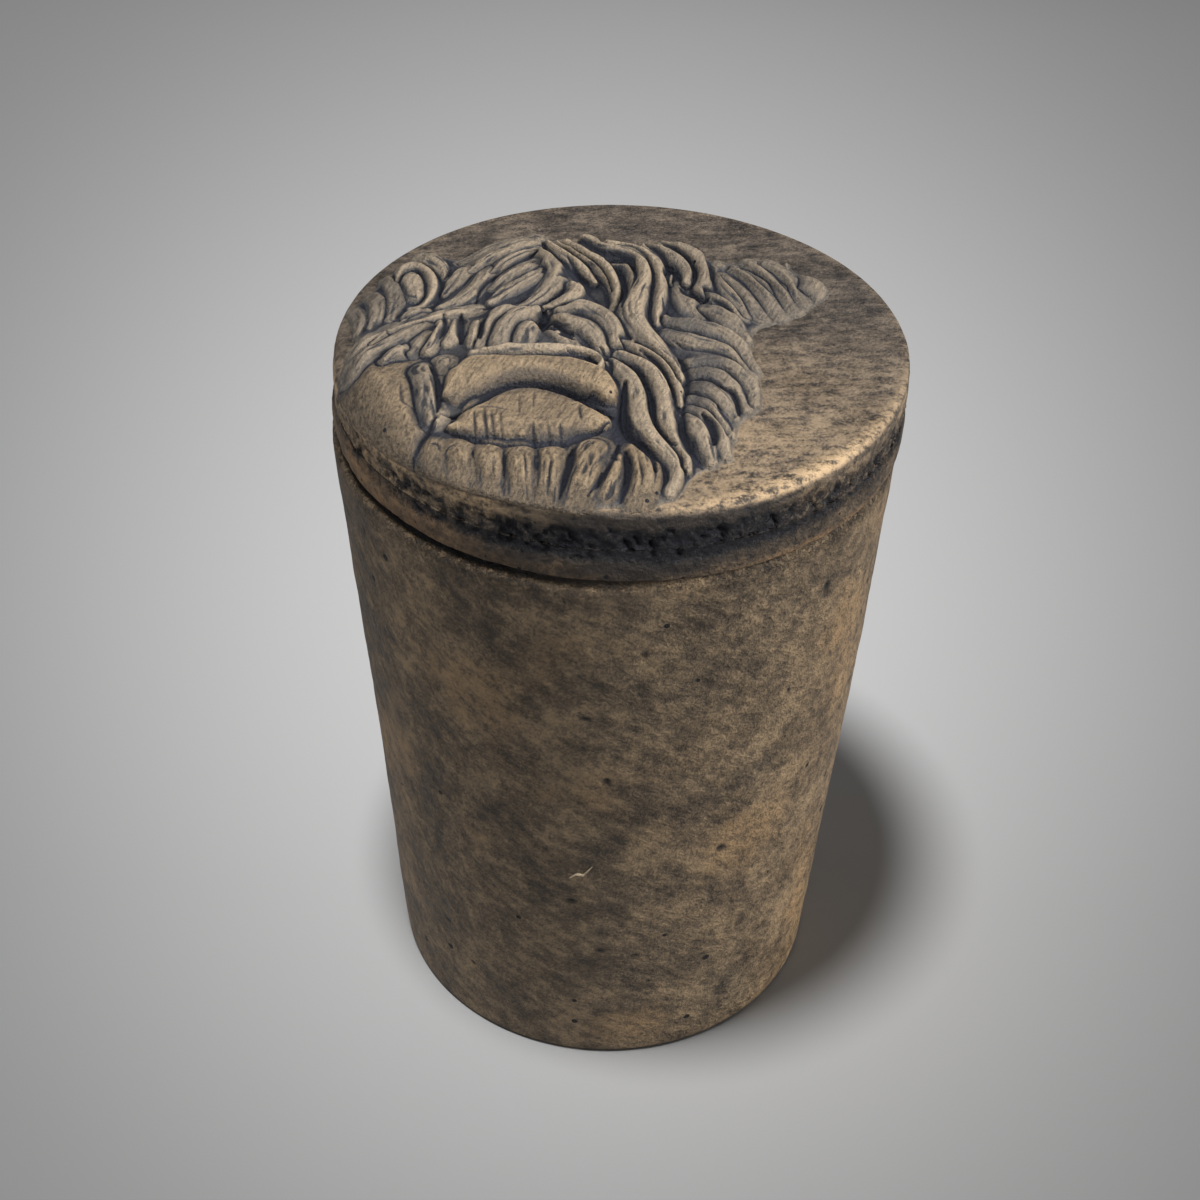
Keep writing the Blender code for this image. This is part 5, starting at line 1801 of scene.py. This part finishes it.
    def cells(self) -> np.ndarray:
        """Which piece each grid cell goes to, or -1.

        Where two cells of a piece touch only at a corner, a third is added, so that no edge has four faces.
        """
        inside = self.cover > 0.03
        inside &= np.hypot(self.x, self.y) < self.half_side - 0.6
        inside = inside[:-1, :-1] & inside[1:, :-1] & inside[:-1, 1:] & inside[1:, 1:]
        ground = len(self.names)
        label = np.where(self.owner[:-1, :-1] < 0, ground, self.owner[:-1, :-1])
        label = np.where(inside, label, -1)
        for _ in range(12):
            a, b, c, d = label[:-1, :-1], label[1:, :-1], label[:-1, 1:], label[1:, 1:]
            first = (a == d) & (b != a) & (c != a)
            label[1:, :-1][first] = a[first]
            a, b, c, d = label[:-1, :-1], label[1:, :-1], label[:-1, 1:], label[1:, 1:]
            second = (b == c) & (a != b) & (d != b)
            label[:-1, :-1][second] = b[second]
            if not (first.any() or second.any()):
                break
        return label

    def build(self) -> None:
        """Shape the head and make one piece for each of the frame's relief nodes."""
        self.shape()
        surface = self.lid.lift(self.x, self.y, self.height)
        under = self.lid.lift(self.x, self.y, np.full_like(self.x, -self.sink))
        normals = np.cross(np.gradient(surface, axis=0), np.gradient(surface, axis=1))
        normals /= np.linalg.norm(normals, axis=-1)[..., None]
        label = self.cells()
        hair, face = RELIEF_FINISH.material(), FACE_FINISH.material()
        for index, node in enumerate([*self.names, "head_ground"]):
            is_face = node in FACE_PADS or node.startswith("chin_tuft")
            self.build_piece(node, label == index, surface, under, normals, face if is_face else hair)

    def build_piece(
        self,
        node: str,
        mask: np.ndarray,
        surface: np.ndarray,
        under: np.ndarray,
        normals: np.ndarray,
        finish: bpy.types.Material,
    ) -> None:
        """Make one piece: its cells of the surface, the same cells underneath, and walls along its border.

        Args:
            node: the frame's node that it stands for.
            mask: the cells that it takes.
            surface: points of the whole surface.
            under: points under them, inside the slab.
            normals: normals of the whole surface.
            finish: its material.
        """
        number = np.arange(self.x.size).reshape(self.x.shape)
        corner = [number[:-1, :-1], number[1:, :-1], number[1:, 1:], number[:-1, 1:]]
        padded = np.pad(mask, 1)
        beyond = [padded[1:-1, :-2], padded[2:, 1:-1], padded[1:-1, 2:], padded[:-2, 1:-1]]
        tops = np.stack([part[mask] for part in corner], axis=-1)
        used, where = np.unique(tops, return_inverse=True)
        tops = where.reshape(tops.shape)
        count = len(used)
        walls = []
        for k in range(4):
            edge = mask & ~beyond[k]
            first = np.searchsorted(used, corner[k][edge])
            second = np.searchsorted(used, corner[(k + 1) % 4][edge])
            walls.append(np.stack([second, first, first + count, second + count], axis=-1))
        faces = [np.concatenate([tops, tops[:, ::-1] + count, *walls])]
        points = np.vstack([surface.reshape(-1, 3)[used], under.reshape(-1, 3)[used]])
        shade = normals.reshape(-1, 3)[used]
        numbers = {
            "stain_and_painted_shade": np.tile(self.stain_and_painted_shade.ravel()[used], 2),
            "wear_and_painted_light": np.tile(self.wear_and_painted_light.ravel()[used], 2),
            "pitted": np.zeros(2 * count),
        }
        piece = add_piece(f"clay_{node}", points, faces, finish, numbers, np.vstack([shade, -shade]))
        dress(piece, Body.LID, (node,))


@dataclass(frozen=True)
class Lamp:
    """One soft round lamp: its name, place and aim in metres, width, power in watts and colour."""

    name: str
    place: Triple
    aim: Triple
    width: float
    power: float
    colour: Colour

    def build(self) -> bpy.types.Object:
        """Hang the lamp and hand it back."""
        data = bpy.data.lights.new(self.name, "AREA")
        data.shape = "DISK"
        data.size = self.width
        data.energy = self.power
        data.color = self.colour
        made = bpy.data.objects.new(self.name, data)
        made.location = self.place
        made.rotation_mode = "QUATERNION"
        made.rotation_quaternion = (Vector(self.aim) - Vector(self.place)).to_track_quat("-Z", "Y")
        bpy.context.scene.collection.objects.link(made)
        return made


@dataclass
class Studio:
    """Pale floor, soft lamps and the camera.

    Attributes:
        floor_reach: half the floor's side in metres.
        floor_near: the floor's grey in the middle of the picture, where its painted pool of light is
            brightest.
        floor_far: its grey far from there, where that painted pool of light has faded.
        world_grey: grey of the light from all round.
        elevation: the camera's height angle in degrees.
        roll: the camera's tilt in degrees.
        distance: the camera's distance in metres from the point on the axis that it looks toward.
        aside: the camera's shift to its right and upward, in metres.
        aim_height: height of that point in metres.
        lens: focal length in millimetres.
        sensor: width of the camera's sensor in millimetres.
        overhead: lamp over the pot.
        backdrop: lamp over the floor.
        key: lamp at the right.
        fill: lamp at the left.
    """

    floor_reach: float = 4.0
    floor_near: float = 0.63
    floor_far: float = 0.27
    world_grey: float = 0.12
    elevation: float = 39.15
    roll: float = 1.42
    distance: float = 0.5885
    aside: tuple[float, float] = (-0.0034, 0.0148)
    aim_height: float = 0.105
    lens: float = 60.0
    sensor: float = 36.0
    overhead: Lamp = Lamp("overhead", (-0.14, -0.08, 1.40), (0.0, 0.0, 0.0), 0.36, 17.5, (1.0, 1.0, 1.0))
    backdrop: Lamp = Lamp("backdrop", (-0.12, -0.16, 1.40), (0.0, 0.0, 0.0), 0.20, 17.5, (1.0, 1.0, 1.0))
    key: Lamp = Lamp("key", (0.98, -0.28, 0.72), (0.0, 0.0, 0.13), 0.50, 23.0, (1.0, 0.97, 0.92))
    fill: Lamp = Lamp("fill", (-0.80, -0.80, 0.26), (0.0, 0.0, 0.12), 0.70, 5.0, (1.0, 0.97, 0.93))

    def build(self, pieces: list[bpy.types.Object]) -> None:
        """Make the floor, the lamps, the surrounding light and the camera.

        Args:
            pieces: the object's own pieces. The floor has a lamp of its own, so that it shows one shadow.
        """
        for label, lit, lamps in (
            ("lit_pieces", pieces, (self.overhead, self.key, self.fill)),
            ("lit_floor", [self.build_floor()], (self.backdrop,)),
        ):
            receivers = bpy.data.collections.new(label)
            for made in lit:
                receivers.objects.link(made)
            for lamp in lamps:
                lamp.build().light_linking.receiver_collection = receivers
        world = bpy.data.worlds.new("studio")
        world.use_nodes = True
        surround = world.node_tree.nodes["Background"]
        surround.inputs["Color"].default_value = (self.world_grey,) * 3 + (1.0,)
        surround.inputs["Strength"].default_value = 1.0
        bpy.context.scene.world = world
        self.build_camera()

    def build_floor(self) -> bpy.types.Object:
        """Lay the floor and hand it back.

        It is a square sheet whose grey is a painted pool of light: it falls off round the axis of a cone of
        light from the front. The share at a place is the tangent of its angle from the cone's axis, seen
        from the cone's point.
        """
        axis = np.sinh(np.linspace(-3.2, 3.2, 161)) / math.sinh(3.2) * self.floor_reach
        x, y = np.meshgrid(axis, axis, indexing="ij")
        rise = math.radians(self.elevation)
        back, up = self.distance * math.cos(rise), self.aim_height + self.distance * math.sin(rise)
        depth = (y + back) * math.cos(rise) + up * math.sin(rise)
        across = np.hypot(x, (y + back) * math.sin(rise) - up * math.cos(rise))
        share = ease(np.where(depth > 0.05, across / np.maximum(depth, 0.05), 2.0), 0.0, 0.46)
        grey = self.floor_near + (self.floor_far - self.floor_near) * share
        # Painted light: the floor is paler toward the back, against the lamp's falloff there.
        grey *= 1.0 + 0.7 * np.clip(y, 0.0, 0.7)
        number = np.arange(x.size).reshape(x.shape)
        quads = np.stack([number[:-1, :-1], number[1:, :-1], number[1:, 1:], number[:-1, 1:]], axis=-1)
        mesh = bpy.data.meshes.new("floor")
        points = np.stack([x, y, 0.0 * x], axis=-1).reshape(-1, 3)
        mesh.from_pydata(points, [], quads.reshape(-1, 4).tolist())
        mesh.attributes.new("grey", "FLOAT", "POINT").data.foreach_set("value", grey.ravel())
        bench = NodeBench("floor_paper")
        bench.into("Base Color", bench.attribute("grey"))
        bench.into("Roughness", 0.95)
        bench.into("Specular IOR Level", 0.0)
        mesh.materials.append(bench.material)
        made = bpy.data.objects.new("floor", mesh)
        bpy.context.scene.collection.objects.link(made)
        return made

    def build_camera(self) -> None:
        """Set the camera at the photograph's angle."""
        rise, roll = math.radians(self.elevation), math.radians(self.roll)
        forward = Vector((0.0, math.cos(rise), -math.sin(rise)))
        level, upright = Vector((1.0, 0.0, 0.0)), Vector((0.0, math.sin(rise), math.cos(rise)))
        right = math.cos(roll) * level + math.sin(roll) * upright
        up = math.cos(roll) * upright - math.sin(roll) * level
        place = Vector((0.0, 0.0, self.aim_height)) - forward * self.distance
        place += right * self.aside[0] + up * self.aside[1]
        data = bpy.data.cameras.new("camera")
        data.lens, data.sensor_width = self.lens, self.sensor
        data.clip_start, data.clip_end = 0.05, 30.0
        made = bpy.data.objects.new("camera", data)
        turn = Matrix((right, up, -forward)).transposed().to_4x4()
        made.matrix_world = Matrix.Translation(place) @ turn
        bpy.context.scene.collection.objects.link(made)
        bpy.context.scene.camera = made


def main() -> None:
    """Load the frame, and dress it."""
    logging.basicConfig(level=logging.INFO, format="%(name)s: %(message)s")
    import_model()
    bpy.context.scene.view_settings.view_transform = "Standard"
    PotBody().build()
    lid = LidBody()
    lid.build()
    Relief(lid).build()
    Studio().build([made for made in bpy.context.scene.objects if made.type == "MESH"])


if __name__ == "__main__":
    main()
